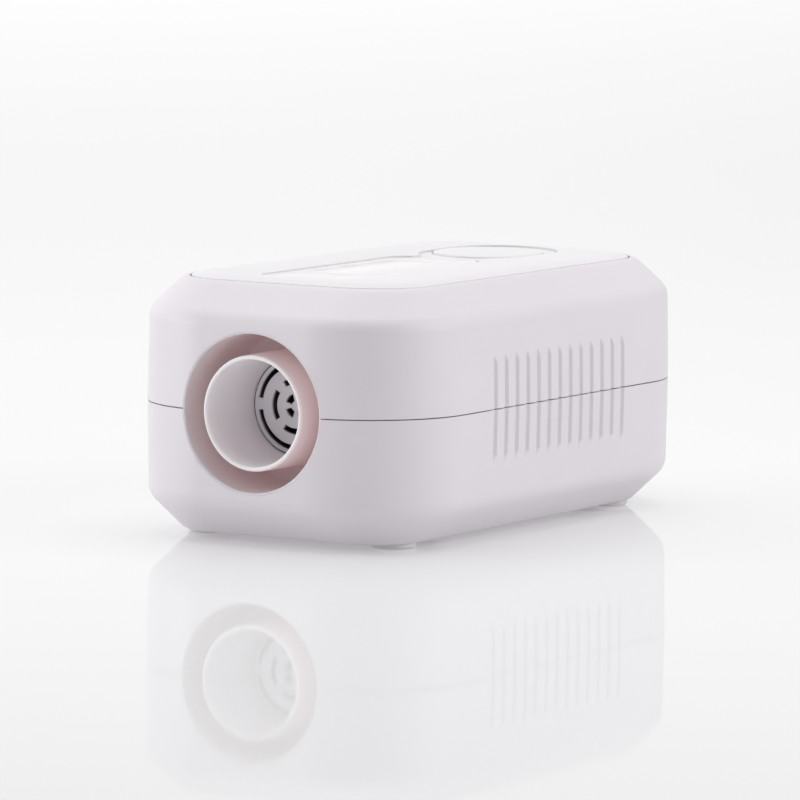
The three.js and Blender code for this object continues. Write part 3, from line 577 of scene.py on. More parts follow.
def groove_rows():
    """Positions along the side where the grooves need a row of points, for every groove."""
    along = (-0.1, 0.0, 0.03, 0.07, 0.12, 0.22, 0.34, 0.48, 0.64, 0.82, 1.0, 1.1)
    centres = [(k - (GROOVES - 1) / 2) * GROOVE_PITCH for k in range(GROOVES)]
    return [c - GROOVE_FRONT + GROOVE_RAMP * t for c in centres for t in along]


SIDE_ROWS = groove_rows()
ARC_STEPS = 26


def smooth(t):
    """Eases t from 0 to 1, and holds it there."""
    t = max(0.0, min(1.0, t))
    return t * t * (3 - 2 * t)


def groove_depth(y, z):
    """How deep the grooves lie at a point of the side wall: steep in front, with a ramp up to the rear."""
    k = round(y / GROOVE_PITCH)
    if abs(k) > (GROOVES - 1) / 2:
        return 0.0
    run_out = smooth((GROOVE_HALF - abs(z - SEAM_Z)) / GROOVE_END)
    if run_out <= 0:
        return 0.0
    t = (y - k * GROOVE_PITCH + GROOVE_FRONT) / (GROOVE_RAMP * run_out)
    if t <= 0 or t >= 1:
        return 0.0
    steep = 0.12
    return GROOVE_DEPTH * run_out * (smooth(t / steep) if t < steep else (1 - t) / (1 - steep))


def outline(station, grooved=False):
    """The case's closed plan at a station: its height, insets from the widest plan, and corner radius."""
    z, ix, iy, r = station
    hx, hy = HALF_X - ix, HALF_Y - iy
    straight = hy - r
    side = [-straight] + SIDE_ROWS + [straight]
    points = []
    for y in side:
        points.append((hx - (groove_depth(y, z) if grooved else 0), y))
    points += arc(hx - r, hy - r, r, 0, 90, ARC_STEPS)[1:]
    points += arc(r - hx, hy - r, r, 90, 180, ARC_STEPS)
    for y in reversed(side[:-1]):
        points.append((-hx + (groove_depth(y, z) if grooved else 0), y))
    points += arc(r - hx, r - hy, r, 180, 270, ARC_STEPS)[1:]
    points += arc(hx - r, r - hy, r, 270, 360, ARC_STEPS)[:-1]
    return [(x, y, z) for x, y in points]


def end_surface(x, z, end):
    """Y of the case's wall at its front (end -1) or rear (end 1)."""
    inset = DRAFT * min(1.0, abs(z - SEAM_Z) / BAND_HALF)
    r = CORNER - inset
    past = max(0.0, abs(x) - (HALF_X - CORNER))
    return end * (HALF_Y - inset - r + math.sqrt(max(0.0, r * r - past * past)))


def lip_levels(lip, steps, sunk=-0.002):
    """Growth and depth down a round lip."""
    return [(lip * (1 - math.sin(a)), lip * (1 - math.cos(a)) + sunk) for a in quarter_turn(steps)]


def wall_cutter(flat, end, lip):
    """Cuts an opening of an (x, z) outline into an end wall, with a round lip that follows the wall."""
    reach = 9
    rings = []
    for growth, sunk in [(lip + 0.4, -2.0)] + lip_levels(lip, 5):
        rings.append([(x, end_surface(x, z, end) - end * sunk, z) for x, z in grown(flat, growth)])
    rings.append([(x, end_surface(0, z, end) - end * reach, z) for x, z in flat])
    return tool(skin(rings))


def vertical_cutter(flat, low, high, lip=0.0):
    """Cuts a hole of the given (x, y) outline upwards between two heights, with a round lip at its mouth."""
    levels = [(lip + 0.3, -1.0)] + lip_levels(lip, 4) if lip else [(0.0, -1.0)]
    levels.append((0.0, high - low))
    return tool(skin([[(x, y, low + z) for x, y in grown(flat, growth)] for growth, z in levels]))


def circle(cx, cy, r, steps=72):
    """A closed circle as an outline."""
    return arc(cx, cy, r, 0, 360 * (1 - 1 / steps), steps - 1)


# Where the upright wall has rows of points, from the seam: close together where the grooves run out.
BAND_ROWS = [0.27, 2.5, 5.0, 7.5, 8.8, 9.1, 9.4, 9.65, 9.9, 10.1, 10.25, 10.38, 10.46, 10.6, 12.0, 14.0]


def wall_level(z, inset):
    """A station of the upright wall: the seam's plan, moved in."""
    return (z, inset, inset, CORNER - inset)


def band_levels(up):
    """The upright wall from the seam outwards. up is 1 for the top cover and -1 for the bottom case."""
    tight = 0.12
    half = SEAM_GAP / 2
    made = [wall_level(SEAM_Z + up * half, tight)]
    for a in (math.radians(30), math.radians(60)):
        made.append(wall_level(SEAM_Z + up * (half + tight * (1 - math.cos(a))), tight * (1 - math.sin(a))))
    return made + [wall_level(SEAM_Z + up * z, DRAFT * z / BAND_HALF) for z in BAND_ROWS]


def offset_level(z, plan, d):
    """A station with the rim's or the sole's plan, moved in."""
    return (z, plan["ix"] + d, plan["iy"] + d, plan["r"] - d)


CORNERS = ("front_left", "front_right", "rear_left", "rear_right")
MOUNTS = ("blower_mount_left", "blower_mount_right_front", "blower_mount_right_rear")
BOARD_SCREWS = ("board_screw_front", "board_screw_rear")
WELL_RADIUS, WELL_DEPTH = 3.1, 5.0  # round the heads of the case screws
DC_HEIGHT = 15.2


def middle(name):
    """The middle of a CAD node's box."""
    low, high = cad(name)
    return (low + high) / 2


def half_width(name):
    """Half the width of a CAD node's box, which is the radius of a round one."""
    low, high = cad(name)
    return (high.x - low.x) / 2


def on_node(title, name, profile, sides=40):
    """A turned piece on the vertical axis through the middle of a CAD node."""
    centre = middle(name)
    return finish_mesh(title, turned(profile, (centre.x, centre.y, 0), sides=sides))


def inner_hull():
    """The bottom case's outer form, shrunk, to trim posts that would come through its chamfer."""
    shrink = 0.8
    levels = [
        offset_level(BASE_Z + shrink, SOLE, shrink),
        wall_level(SEAM_Z - BAND_HALF, DRAFT + shrink),
        wall_level(SEAM_Z, shrink),
    ]
    return tool(skin([outline(level) for level in levels]))


def outlet_opening():
    """The round opening that the outlet's lip stands in."""
    return wall_cutter(circle(0, SEAM_Z, LIP_RADIUS + 0.03), -1, lip=0.03)


def opening_round(name, radius):
    """The outline of an opening in the rear wall round a CAD node."""
    gap = 0.3
    low, high = cad(name)
    return rounded_rectangle(low.x - gap, high.x + gap, low.z - gap, high.z + gap, radius)


def top_cover():
    """The upper shell with the pocket for the deck and the opening below it, and the screw bosses."""
    opening = (13, 13.5, 8)
    ceiling = (6.1, 7.1, CORNER - 7)
    seam_low = SEAM_Z + SEAM_GAP / 2
    rabbet = SEAM_Z + 1.8
    band = band_levels(1)
    bent = [
        band[-1], wall_level(SEAM_Z + BAND_HALF, DRAFT), offset_level(RIM_Z, RIM, 0),
        offset_level(RIM_Z, RIM, SHOULDER), offset_level(LEDGE_Z, RIM, SHOULDER),
    ]
    bends = {1: (EDGE, EDGE), 2: (1.3, SHOULDER - 0.35), 3: (0.12, 0.15)}
    inside = [
        (LEDGE_Z, *opening), (LEDGE_Z - 2, *opening), (LEDGE_Z - 2, *ceiling),
        wall_level(SEAM_Z + BAND_HALF - 0.9, WALL + DRAFT), wall_level(rabbet, WALL),
        wall_level(rabbet, SEAM_DEPTH), wall_level(seam_low, SEAM_DEPTH),
    ]
    rings = [outline(level, grooved=True) for level in band[:-1] + eased(bent, bends)]
    shell = finish_mesh("top_shell", skin(rings + [outline(level) for level in inside], loop=True))
    outer, inner, roof, depth = 3.2, 1.45, LEDGE_Z - 1.07, SEAM_Z + 12
    bored = [(outer, seam_low), (outer, roof), (0, roof), (0, depth), (inner, depth), (inner, seam_low)]
    bosses = [on_node("top_boss", "case_screw_" + corner, bored) for corner in CORNERS]
    cover = wall_cutter(opening_round("filter_cover", 3.0), 1, lip=0.2)
    return [even_shading(carve(shell, outlet_opening(), cover))] + bosses


def bottom_posts(start):
    """The screw bosses and the posts for the board and the blower, from a height inside the floor."""
    top, well = SEAM_Z - SEAM_GAP / 2, BASE_Z + WELL_DEPTH
    bored = [(4.2, start), (4.2, top), (1.6, top), (1.6, well), (WELL_RADIUS, well), (WELL_RADIUS, start)]
    posts = [on_node("bottom_boss", "case_screw_" + corner, bored) for corner in CORNERS]
    top, hole = cad("main_board")[0].z - 0.1, BASE_Z + WALL + 0.6
    bored = [(0, start), (3.0, start), (3.0, top), (1.15, top), (1.15, hole), (0, hole)]
    posts += [on_node("board_post", name, bored) for name in BOARD_SCREWS]
    for name in MOUNTS:
        seat = cad(name)[0].z - 0.2
        tip = seat + 5.6
        stepped = [(0, start), (2.6, start), (2.6, seat), (1.7, seat), (1.7, tip), (0, tip)]
        posts.append(carve(on_node("mount_post", name, stepped), inner_hull(), operation="INTERSECT"))
    return posts


def bottom_case():
    """The lower shell with its lip, foot seats, screw wells and holes for the sockets, and the posts."""
    band = band_levels(-1)
    bent = [
        band[-1], wall_level(SEAM_Z - BAND_HALF, DRAFT),
        offset_level(BASE_Z, SOLE, 0), offset_level(BASE_Z, SOLE, 4),
    ]
    bends = {1: (EDGE, 2.2), 2: (1.0, 0.8)}
    lip_top = SEAM_Z + 1.2
    lip = SEAM_DEPTH + 0.1
    inside = [
        offset_level(BASE_Z + WALL, SOLE, 1.2), wall_level(SEAM_Z - BAND_HALF + 0.9, WALL + DRAFT),
        wall_level(lip_top, WALL), wall_level(lip_top, lip), wall_level(SEAM_Z - SEAM_GAP / 2, lip),
    ]
    rings = [outline(level, grooved=True) for level in band[:-1] + eased(bent, bends)]
    shell = finish_mesh("bottom_shell", skin([outline(level) for level in inside] + rings))
    posts = bottom_posts(BASE_Z + WALL / 2)
    cutters = [
        outlet_opening(),
        wall_cutter(circle(middle("dc_socket").x, DC_HEIGHT, 4.55, 48), 1, lip=0.3),
        wall_cutter(opening_round("usb_socket", 1.7), 1, lip=0.25),
    ]
    for corner in CORNERS:
        foot_name = "foot_" + corner
        centre = middle(foot_name)
        seat = circle(centre.x, centre.y, half_width(foot_name) + 0.15, 48)
        cutters.append(vertical_cutter(seat, BASE_Z, cad(foot_name)[1].z + 0.1, lip=0.1))
        screw = middle("case_screw_" + corner)
        well = circle(screw.x, screw.y, WELL_RADIUS, 40)
        cutters.append(vertical_cutter(well, BASE_Z, BASE_Z + WELL_DEPTH, lip=0.25))
    return [even_shading(carve(shell, *cutters))] + posts


# ---------------------------------------------------------------- the hose outlet


def outlet_port():
    """The one-piece cup, nozzle and duct. Its lip follows the case's front wall."""
    front, back = -HALF_Y, cad("outlet_port")[1].y
    rim, floor = front + RIM_BACK, front + 17.5
    root = NOZZLE_RADIUS + (floor - rim) / 80
    fillet, soft, hard = 1.0, 0.24, 0.04
    lip = [(CUP_RADIUS + growth, y, True) for growth, y in lip_levels(soft, 5, 0)]
    outer_lip = [(LIP_RADIUS - growth, y, True) for growth, y in reversed(lip_levels(hard, 3, 0))]
    bottom = [(CUP_RADIUS - fillet + x, y, False) for x, y in arc(0, floor - fillet, fillet, 0, 90, 6)]
    bottom += [(root + fillet + x, y, False) for x, y in arc(0, floor - fillet, fillet, 90, 180, 6)]
    half = (NOZZLE_RADIUS - MOUTH_RADIUS) / 2
    mouth = [(NOZZLE_RADIUS - half + x, y, False) for x, y in arc(0, rim + half, half, 0, -180, 12)]
    profile = outer_lip + lip + [(CUP_RADIUS, 2.0, True)] + bottom + mouth
    duct = ((9.75, front + 12), (9.5, front + 15.7), (9.5, floor), (8.6, floor), (8.6, back), (10.0, back))
    profile += [(r, y, False) for r, y in (*duct, (10.0, floor + 2), (CUP_OUTER, floor + 2))]
    profile += [(CUP_OUTER, 2.8, True), (LIP_RADIUS, 2.8, True)]
    rings = []
    for r, y, follows in profile:
        ring = [(x, end_surface(x, z, -1) + y if follows else y, z) for x, z in circle(0, SEAM_Z, r, 120)]
        rings.append(ring)
    piece = finish_mesh("outlet_cup_and_nozzle", skin(rings, loop=True))
    barb = [(1.3, floor + 1), (1.3, back - 3), (1.6, back - 3.2), (1.0, back - 2.5)]
    spigot = [(0, floor + 1), *barb, (0, back - 2.5)]
    tap = tool(turned(spigot, (13, 0, SEAM_Z - 6), axis="Y", sides=32))
    return even_shading(carve(piece, tap, operation="UNION"))


def slot_outline(inner, outer, angle, spread):
    """A curved slot between two radii, which reaches spread degrees to each side of the angle."""
    steps = max(4, int(spread / 3))
    there = arc(0, 0, outer, angle - spread, angle + spread, steps)
    return there + arc(0, 0, inner, angle + spread, angle - spread, steps)


def facing_front(x, y, z):
    """Stands a flat piece up across the outlet, its upper side to the front."""
    return (x, -z, SEAM_Z + y)


def outlet_grille():
    """The grille in the bottom of the nozzle: an outer, a middle and an inner ring of slots."""
    low, high = cad("outlet_grille")
    slots = []
    for quarter in range(0, 360, 90):
        slots.append(slot_outline(7.5, 8.5, quarter + 45, 37))
        slots.append(slot_outline(4.25, 5.4, quarter, 33))
        slots.append(slot_outline(1.0, 2.4, quarter + 45, 28))
    disc = circle(0, 0, half_width("outlet_grille"), 96)
    return finish_mesh("grille", plate(disc, -high.y, -low.y, edge=0.1, holes=slots, place=facing_front))


# ---------------------------------------------------------------- the control deck and its buttons

DECK_TOP = DECK_Z + 0.08
STRIP_HALF, STRIP_FRONT, STRIP_REAR = 10.4, -41.3, 11.2  # the strip that holds the overlay
NECK_HALF = 7.0  # half the width of its neck
PADS_HALF, PADS_FRONT, PADS_REAR = 11.5, 23.5, 32.5  # the stadium that holds the buttons
DIAL_RADIUS, DIAL_Y = 10.9, 28.0
POCKET_Z = DECK_Z - 0.8  # the strip's bottom
OVERLAY_TOP = DECK_Z - 0.2
PAD_UNDER = DECK_Z - 1.75  # the buttons' underside


def mirrored(right):
    """A closed outline from its right half, which runs from the front to the rear."""
    return right + [(-x, y) for x, y in reversed(right) if x > 1e-6]


def strip_side(grow):
    """The right-hand edge of the strip, from the front to the end of its neck."""
    half, neck = STRIP_HALF + grow, NECK_HALF + grow
    front, rear = STRIP_FRONT - grow, STRIP_REAR + grow
    side = [(0, front)] + arc(half - 4, front + 4, 4, 270, 360, 10)
    shoulder = arc(half - 4.4, rear - 4.4, 4.4, 0, 62, 8)
    throat = (neck, rear + 1.6)
    return side + shoulder + bend(shoulder[-1], (neck, rear - 0.1), throat, 6)[1:]


def strip_outline():
    """The recess in the deck: a strip, a neck, and a stadium that holds the buttons."""
    reach = math.degrees(math.asin(NECK_HALF / PADS_HALF)) + 4
    pads = arc(0, PADS_FRONT, PADS_HALF, reach - 90, 0, 20) + arc(0, PADS_REAR, PADS_HALF, 0, 90, 28)
    neck = strip_side(0)
    junction = (NECK_HALF, PADS_FRONT - math.sqrt(PADS_HALF**2 - NECK_HALF**2))
    start = (NECK_HALF, junction[1] - 0.8)
    return mirrored(neck + bend(start, junction, pads[0], 6)[:-1] + pads)


def stadium_outline():
    """The stadium round the three buttons."""
    return arc(0, PADS_REAR, PADS_HALF, 0, 180, 40) + arc(0, PADS_FRONT, PADS_HALF, 180, 360, 40)


def window_outline(grow=0.0):
    """The display window in the strip."""
    half, front, rear = 7.6, -27.0, 3.0
    return rounded_rectangle(-half - grow, half + grow, front - grow, rear + grow, 1.5 + grow, 6)


def deck_outline(grow=0.0):
    """The deck's edge, inside the pocket."""
    inset = SHOULDER + DECK_GAP - grow
    hx, hy = HALF_X - RIM["ix"] - inset, HALF_Y - RIM["iy"] - inset
    return rounded_rectangle(-hx, hx, -hy, hy, RIM["r"] - inset, 24)


def control_deck():
    """The deck's skin, which falls away a little towards its edge, on a tray with four posts below it."""
    edge_z, slope, edge = RIM_Z + 0.14, 3.9, 0.2
    outer = round_edge(POCKET_Z, edge_z, edge)
    for k in range(1, 9):
        t = k / 8
        outer.append((-edge - (slope - edge) * t, DECK_TOP - (DECK_TOP - edge_z) * (1 - t) ** 2))
    recess = round_edge(POCKET_Z, DECK_TOP, 0.12, out=1)
    skin_part = slab([(deck_outline(), outer), (strip_outline(), recess)])
    tray_under = DECK_Z - 2
    holes = [stadium_outline(), window_outline(-0.8)]
    tray = plate(deck_outline(-0.02), tray_under, POCKET_Z, edge=0.01, holes=holes)
    pieces = [finish_mesh("deck_skin", skin_part), finish_mesh("deck_tray", tray)]
    profile = [(0, 43.9), (1.7, 43.9), (2.0, 44.2), (2.0, tray_under), (0, tray_under)]
    for x in (-14.2, 14.2):
        for y in (19, 37):
            pieces.append(finish_mesh("deck_post", turned(profile, (x, y, 0), sides=32)))
    return pieces


def control_overlay():
    """The flat overlay in the strip. Its rear end is hollow, to clear the buttons."""
    side = strip_side(-0.12)
    r = PADS_HALF + 0.25
    reach = math.degrees(math.asin(side[-1][0] / r))
    end = arc(0, PADS_FRONT, r, reach - 90, -90, 10)
    outer = mirrored(side + end)
    sheet = plate(outer, POCKET_Z + 0.1, OVERLAY_TOP, edge=0.03, holes=[window_outline()])
    return finish_mesh("overlay", sheet)


def display_lens():
    """The flat window over the display."""
    return finish_mesh("lens", plate(window_outline(-0.06), POCKET_Z + 0.1, OVERLAY_TOP, edge=0.03))


def centre_button():
    """The round button, slightly domed and proud of the deck."""
    low, high = cad("centre_button")
    r, under, crown = DIAL_RADIUS, PAD_UNDER, high.z - 0.02
    shoulder = [(r - 0.4 + x, y) for x, y in arc(0, DECK_TOP - 0.42, 0.4, 0, 78, 6)]
    dome = [(r * t, crown - (crown - DECK_TOP) * t**2.4) for t in (0.93, 0.8, 0.6, 0.4, 0.2, 0.0)]
    stem = [(0, low.z), (1.5, low.z), (1.6, low.z + 0.1), (1.6, under), (r - 0.1, under), (r, under + 0.1)]
    return finish_mesh("dial", turned(stem + shoulder + dome, (0, DIAL_Y, 0), sides=120))


def crescent_button(name, end):
    """The part of the stadium in front of (end -1) or behind (end 1) the round button."""
    low = cad(name)[0].z
    centre, stem_y = (PADS_FRONT, 15.4) if end < 0 else (PADS_REAR, 40.6)
    gap = 0.25
    outer_r, inner_r = PADS_HALF - gap, DIAL_RADIUS + gap
    tips = centre - end * 0.8
    a = math.degrees(math.asin((tips - centre) / outer_r))
    b = math.degrees(math.asin((tips - DIAL_Y) / inner_r))
    if end < 0:
        flat = arc(0, centre, outer_r, 180 - a, 360 + a, 48) + arc(0, DIAL_Y, inner_r, 360 + b, 180 - b, 40)
    else:
        flat = arc(0, centre, outer_r, a, 180 - a, 48) + arc(0, DIAL_Y, inner_r, 180 - b, b, 40)
    pad = finish_mesh("crescent", plate(flat, PAD_UNDER, DECK_Z - 0.3, edge=0.2))
    stem = [(0, low), (1.2, low), (1.3, low + 0.1), (1.3, PAD_UNDER), (0, PAD_UNDER)]
    return [pad, finish_mesh("crescent_stem", turned(stem, (0, stem_y, 0), sides=32))]


# ---------------------------------------------------------------- feet, screws, filter cover and sockets


def upright(name, profile, reach=0.15, sides=48):
    """A turned piece with round corners that takes a CAD node's place."""
    return on_node(name + "_turned", name, softened(profile, reach), sides)


def foot(name):
    """A rubber foot with a chamfer at its lower edge."""
    low, high = cad(name)
    r, chamfer = half_width(name), 0.4
    profile = [(0, low.z), (r - chamfer, low.z), (r, low.z + chamfer), (r, high.z), (0, high.z)]
    return upright(name, profile, 0.3)


def threaded(radius, low, high):
    """The side of a screw's thread, as a profile that rises from low to high."""
    pitch, depth = 0.6, 0.2
    count = int((high - low) / pitch)
    made = []
    for k in range(count):
        z = low + k * pitch
        made += [(radius - depth, z), (radius, z + pitch * 0.5)]
    return made + [(radius - depth, low + count * pitch)]


def case_screw(name):
    """A pan-headed screw with a hexagon socket, head down."""
    low, high = cad(name)
    under = low.z + 2.1
    head = [(0, low.z), (2.4, low.z), (2.8, low.z + 0.4), (2.8, under), (1.3, under)]
    profile = head + threaded(1.3, under + 0.3, high.z - 1) + [(0, high.z)]
    piece = on_node("case_screw", name, profile)
    centre = middle(name)
    hexagon = circle(centre.x, centre.y, 1.25, 6)
    return carve(piece, vertical_cutter(hexagon, low.z, low.z + 1.2))


def board_screw(name):
    """A small screw with a cross slot, head up."""
    low, high = cad(name)
    seat = high.z - 1.4
    profile = [(0, low.z)] + threaded(1.0, low.z + 0.4, seat - 0.2)
    profile += [(1.0, seat), (2.1, seat), (2.2, seat + 0.1), (2.2, seat + 0.6), (1.4, high.z), (0, high.z)]
    x, y = middle(name).xy
    slots = []
    for a, b in ((1.2, 0.2), (0.2, 1.2)):
        slots.append(tool(block((x - a, y - b, high.z - 0.8), (x + a, y + b, high.z + 1), 0)))
    return carve(on_node("board_screw", name, profile, 36), *slots)


def filter_cover():
    """The slotted cover, whose face follows the rear wall, with the frame that holds the pad."""
    low, high = cad("filter_cover")
    half, rear = high.x, HALF_Y - 2.0
    columns = [(half + 1) * (k / 28 - 1) for k in range(57)]
    rings = []
    for z in (low.z - 1, high.z + 1):
        ring = [(x, end_surface(x, z, 1), z) for x in columns]
        rings.append(ring + [(x, rear, z) for x in reversed(columns)])
    piece = finish_mesh("filter_cover", skin(rings))
    slots = []
    for x in range(-12, 13, 4):
        slots.append(rounded_rectangle(x - 0.9, x + 0.9, low.z + 2.3, high.z - 2.3, 0.85, 6))
    face = rounded_rectangle(-half, half, low.z, high.z, 2.7, 8)
    levels = [(0.0, rear - 3), (0.0, HALF_Y + 2)]
    mask = tool(slab([(flat, levels) for flat in [face] + slots], through_wall))
    carve(piece, mask, operation="INTERSECT")
    levels = [(0.0, low.y), (0.0, rear + 0.4)]
    pad_frame = tool(slab([(grown(face, -0.5), levels), (grown(face, -1.7), levels)], through_wall))
    return rounded_edges(carve(piece, pad_frame, operation="UNION"), 0.14)


def rounded_edges(piece, width):
    """Bevels the sharper edges and leaves the mesh itself alone."""
    bevel = piece.modifiers.new("rounded_edges", "BEVEL")
    bevel.width = width * MM
    bevel.segments = 2
    bevel.limit_method = "ANGLE"
    bevel.angle_limit = math.radians(35)
    bevel.harden_normals = True
    return piece


def along_y(profile, x, z, reach=0.12, sides=64):
    """A turned piece on an axis from the front to the rear."""
    return turned(softened(profile, reach), (x, 0, z), axis="Y", sides=sides)


def dc_socket():
    """The power socket: a block with a round barrel through the rear wall, bored for the plug."""
    low, high = cad("dc_socket")
    x = middle("dc_socket").x
    body = finish_mesh("dc_socket", block(low, (high.x, 55.3, high.z), 0.3))
    barrel = tool(along_y(cylinder(4.3, 55, high.y), x, DC_HEIGHT))
    plug_way = tool(along_y(cylinder(3, 46.4, high.y + 1), x, DC_HEIGHT))
    carve(body, barrel, operation="UNION")
    return carve(body, plug_way)


def dc_pin():
    """The pin in the power socket, with a round tip."""
    low, high = cad("dc_pin")
    centre = middle("dc_pin")
    profile = cylinder(half_width("dc_pin"), low.y, high.y)
    return finish_mesh("dc_pin", along_y(profile, centre.x, centre.z, 0.6, 32))


def usb_socket():
    """The socket's drawn shell with the contact tongue inside it."""
    low, high = cad("usb_socket")
    outer = rounded_rectangle(low.x, high.x, low.z, high.z, 1.4, 8)
    levels = [(0.0, low.y), (0.0, high.y)]
    piece = finish_mesh("usb_shell", slab([(outer, levels), (grown(outer, -0.5), levels)], through_wall))
    centre = middle("usb_socket")
    back = tool(block((low.x + 0.3, low.y, low.z + 0.3), (high.x - 0.3, low.y + 1, high.z - 0.3), 0))
    tongue_low = (centre.x - 3.3, low.y + 0.5, centre.z - 0.35)
    tongue = tool(block(tongue_low, (centre.x + 3.3, high.y - 1.2, centre.z + 0.35), 0))
    carve(piece, back, operation="UNION")
    return carve(piece, tongue, operation="UNION")


# ---------------------------------------------------------------- blower and motor

AXIS = middle("motor_shaft")


def on_axis(name, profile, reach=0.12, sides=72):
    """A turned piece on the motor's axis."""
    return finish_mesh(name, turned(softened(profile, reach), (AXIS.x, AXIS.y, 0), sides=sides))


def blade(angle, low, high):
    """A backward-curved blade between the impeller's disc and its lower ring."""
    inner, outer, sweep, half, steps = 6.6, 14.7, 0.95, 0.45, 12
    spine = []
    for k in range(steps + 1):
        a = angle - sweep * (k / steps) ** 0.8
        r = inner + (outer - inner) * k / steps
        spine.append(Vector((AXIS.x + r * math.cos(a), AXIS.y + r * math.sin(a))))
    left, right = [], []
    for k, here in enumerate(spine):
        along = (spine[min(k + 1, steps)] - spine[max(k - 1, 0)]).normalized()
        side = Vector((-along.y, along.x)) * half
        left.append(tuple(here + side))
        right.append(tuple(here - side))
    return slab([(left + right[::-1], [(0.0, low), (0.0, high)])])


def impeller():
    """A hub and an upper disc, a lower ring, and eleven blades between them."""
    low, high = cad("impeller")
    r, bore, blades = half_width("impeller"), 1.55, 11
    hub = [(bore, 22.2), (4.2, 22.2), (4.6, 22.8), (4.6, 27.2), (5.6, 28.1)]
    disc = hub + [(r, 28.1), (r, high.z), (bore, high.z)]
    piece = on_axis("impeller", disc)
    others = [on_axis("cut", pipe(9, r, low.z, low.z + 0.8))]
    others += [tool(blade(2 * math.pi * k / blades, low.z + 0.3, 28.6)) for k in range(blades)]
    return carve(piece, *others, operation="UNION")


def motor_shaft():
    """The shaft, with its ends rounded."""
    low, high = cad("motor_shaft")
    return on_axis("shaft", cylinder(1.5, low.z, high.z), 0.25, 40)


def rotor_magnet():
    """The ring magnet on the shaft."""
    low, high = cad("rotor_magnet")
    return on_axis("magnet", pipe(1.55, half_width("rotor_magnet"), low.z, high.z), 0.3)


def bearing(name):
    """A shielded ball bearing: two rings with a sunk shield between them."""
    low, high = cad(name)
    a, b = low.z, high.z
    profile = [(1.65, a), (2.4, a), (2.45, a + 0.2), (3.7, a + 0.2), (3.75, a), (4.5, a)]
    profile += [(4.5, b), (3.75, b), (3.7, b - 0.2), (2.45, b - 0.2), (2.4, b), (1.65, b)]
    return on_axis(name + "_rings", profile, 0.06)


def motor_cap():
    """The cap over the stator, with a seat for the upper bearing and a notch for the cable."""
    low, high = cad("motor_cap")
    r, top, under = half_width("motor_cap"), high.z, high.z - 0.8
    profile = [(r - 1, low.z), (r, low.z), (r, top), (2, top), (2, under), (4.7, under), (4.7, 41.2)]
    profile += [(5.7, 41.2), (5.7, under), (r - 1, under)]
    piece = on_axis("motor_cap", profile, 0.3, 96)
    notch = block((AXIS.x - r - 2, AXIS.y - 2, 35), (AXIS.x - r + 2, AXIS.y + 2, 37.6), 0)
    return carve(piece, tool(notch))


def blower_mount(name):
    """A soft grommet with a groove for the casing's ear."""
    low, high = cad(name)
    inner, core, flange, thick = 1.95, 3.0, half_width(name), 0.9
    profile = [(inner, low.z), (flange, low.z), (flange, low.z + thick), (core, low.z + thick)]
    profile += [(core, high.z - thick), (flange, high.z - thick), (flange, high.z), (inner, high.z)]
    return upright(name, profile, 0.25, 40)


def ring_across(y, x, r):
    """A circle of points across the outlet's direction."""
    turns = [2 * math.pi * k / 64 for k in range(64)]
    return [(x + r * math.cos(a), y, SEAM_Z + r * math.sin(a)) for a in turns]


def outlet_coupling():
    """The soft sleeve from the blower's spout to the outlet's duct, with a smooth taper between them."""
    low, high = cad("outlet_coupling")
    stations = [(high.y, -5.0, 8.45), (-26.0, -5.0, 8.45), (-30.5, 0.0, 10.25), (low.y, 0.0, 10.25)]
    steps, thick = 6, 1.35
    path = []
    for (y0, x0, r0), (y1, x1, r1) in zip(stations, stations[1:]):
        for k in range(steps):
            t = smooth(k / steps)
            path.append((y0 + (y1 - y0) * k / steps, x0 + (x1 - x0) * t, r0 + (r1 - r0) * t))
    path.append(stations[-1])
    outer = [ring_across(y, x, r + thick) for y, x, r in path]
    inner = [ring_across(y, x, r) for y, x, r in reversed(path)]
    return finish_mesh("coupling", skin(outer + inner, loop=True))


# ---------------------------------------------------------------- electronics and foam


def capacitor(name):
    """An upright capacitor can with its crimp and sunk top."""
    z = cad(name)[0].z
    profile = [(0, 0), (3.9, 0), (3.9, 1), (3.7, 1.4), (4, 1.8)]
    profile += [(4, 9.2), (3.6, 9.6), (2.9, 9.6), (2.7, 9.4), (0, 9.4)]
    return upright(name, [(r, z + h) for r, h in profile], 0.2)


def plunger(name):
    """The rod between a button and its switch."""
    low, high = cad(name)
    return upright(name, cylinder(1.6, low.z, high.z), 0.25, 32)


def pressure_tube():
    """The tube from the outlet's spigot to the pressure sensor."""
    path = [(13, -33.2, 19.5), (12.9, -29.5, 19.4), (12.0, -26.0, 18.2), (10.5, -23.6, 15.4)]
    return finish_mesh("pressure_tube", swept(path, 1.45))


def motor_cable():
    """One sleeved cable from the motor to its connector."""
    path = [(-3.9, -1.5, 36.3), (-7, -0.5, 36), (-12.5, 4, 34.6), (-16.6, 9.5, 29)]
    path += [(-16.8, 12, 20), (-13, 13, 14.4), (-10, 13, 13.6)]
    return finish_mesh("motor_cable", swept(path, 1.08))


def foam_pad(name, flat, low, high, place):
    """A foam piece cut to an outline, with bevelled edges."""
    edge = 0.35
    levels = [(-edge, low), (0.0, low + edge), (0.0, high - edge), (-edge, high)]
    piece = finish_mesh(name, slab([(flat, levels)], place), sharp=80)
    return piece


def filter_pad():
    """The foam pad in the filter cover."""
    low, high = cad("filter_pad")
    flat = rounded_rectangle(low.x, high.x, low.z, high.z, 1.0, 4)
    return foam_pad("filter_pad_foam", flat, low.y, high.y, through_wall)


def silencer_foam():
    """The foam block behind the filter, with a notch in its top."""
    low, high = cad("silencer_foam")
    notch_left, notch_right, notch_z = -5.0, 9.5, 28.0
    flat = [(low.x, low.z), (high.x, low.z), (high.x, high.z), (notch_right, high.z), (notch_right, notch_z)]
    flat += [(notch_left, notch_z), (notch_left, high.z), (low.x, high.z)]
    return foam_pad("silencer_block", flat, low.y, high.y, through_wall)


# ---------------------------------------------------------------- camera, light and floor


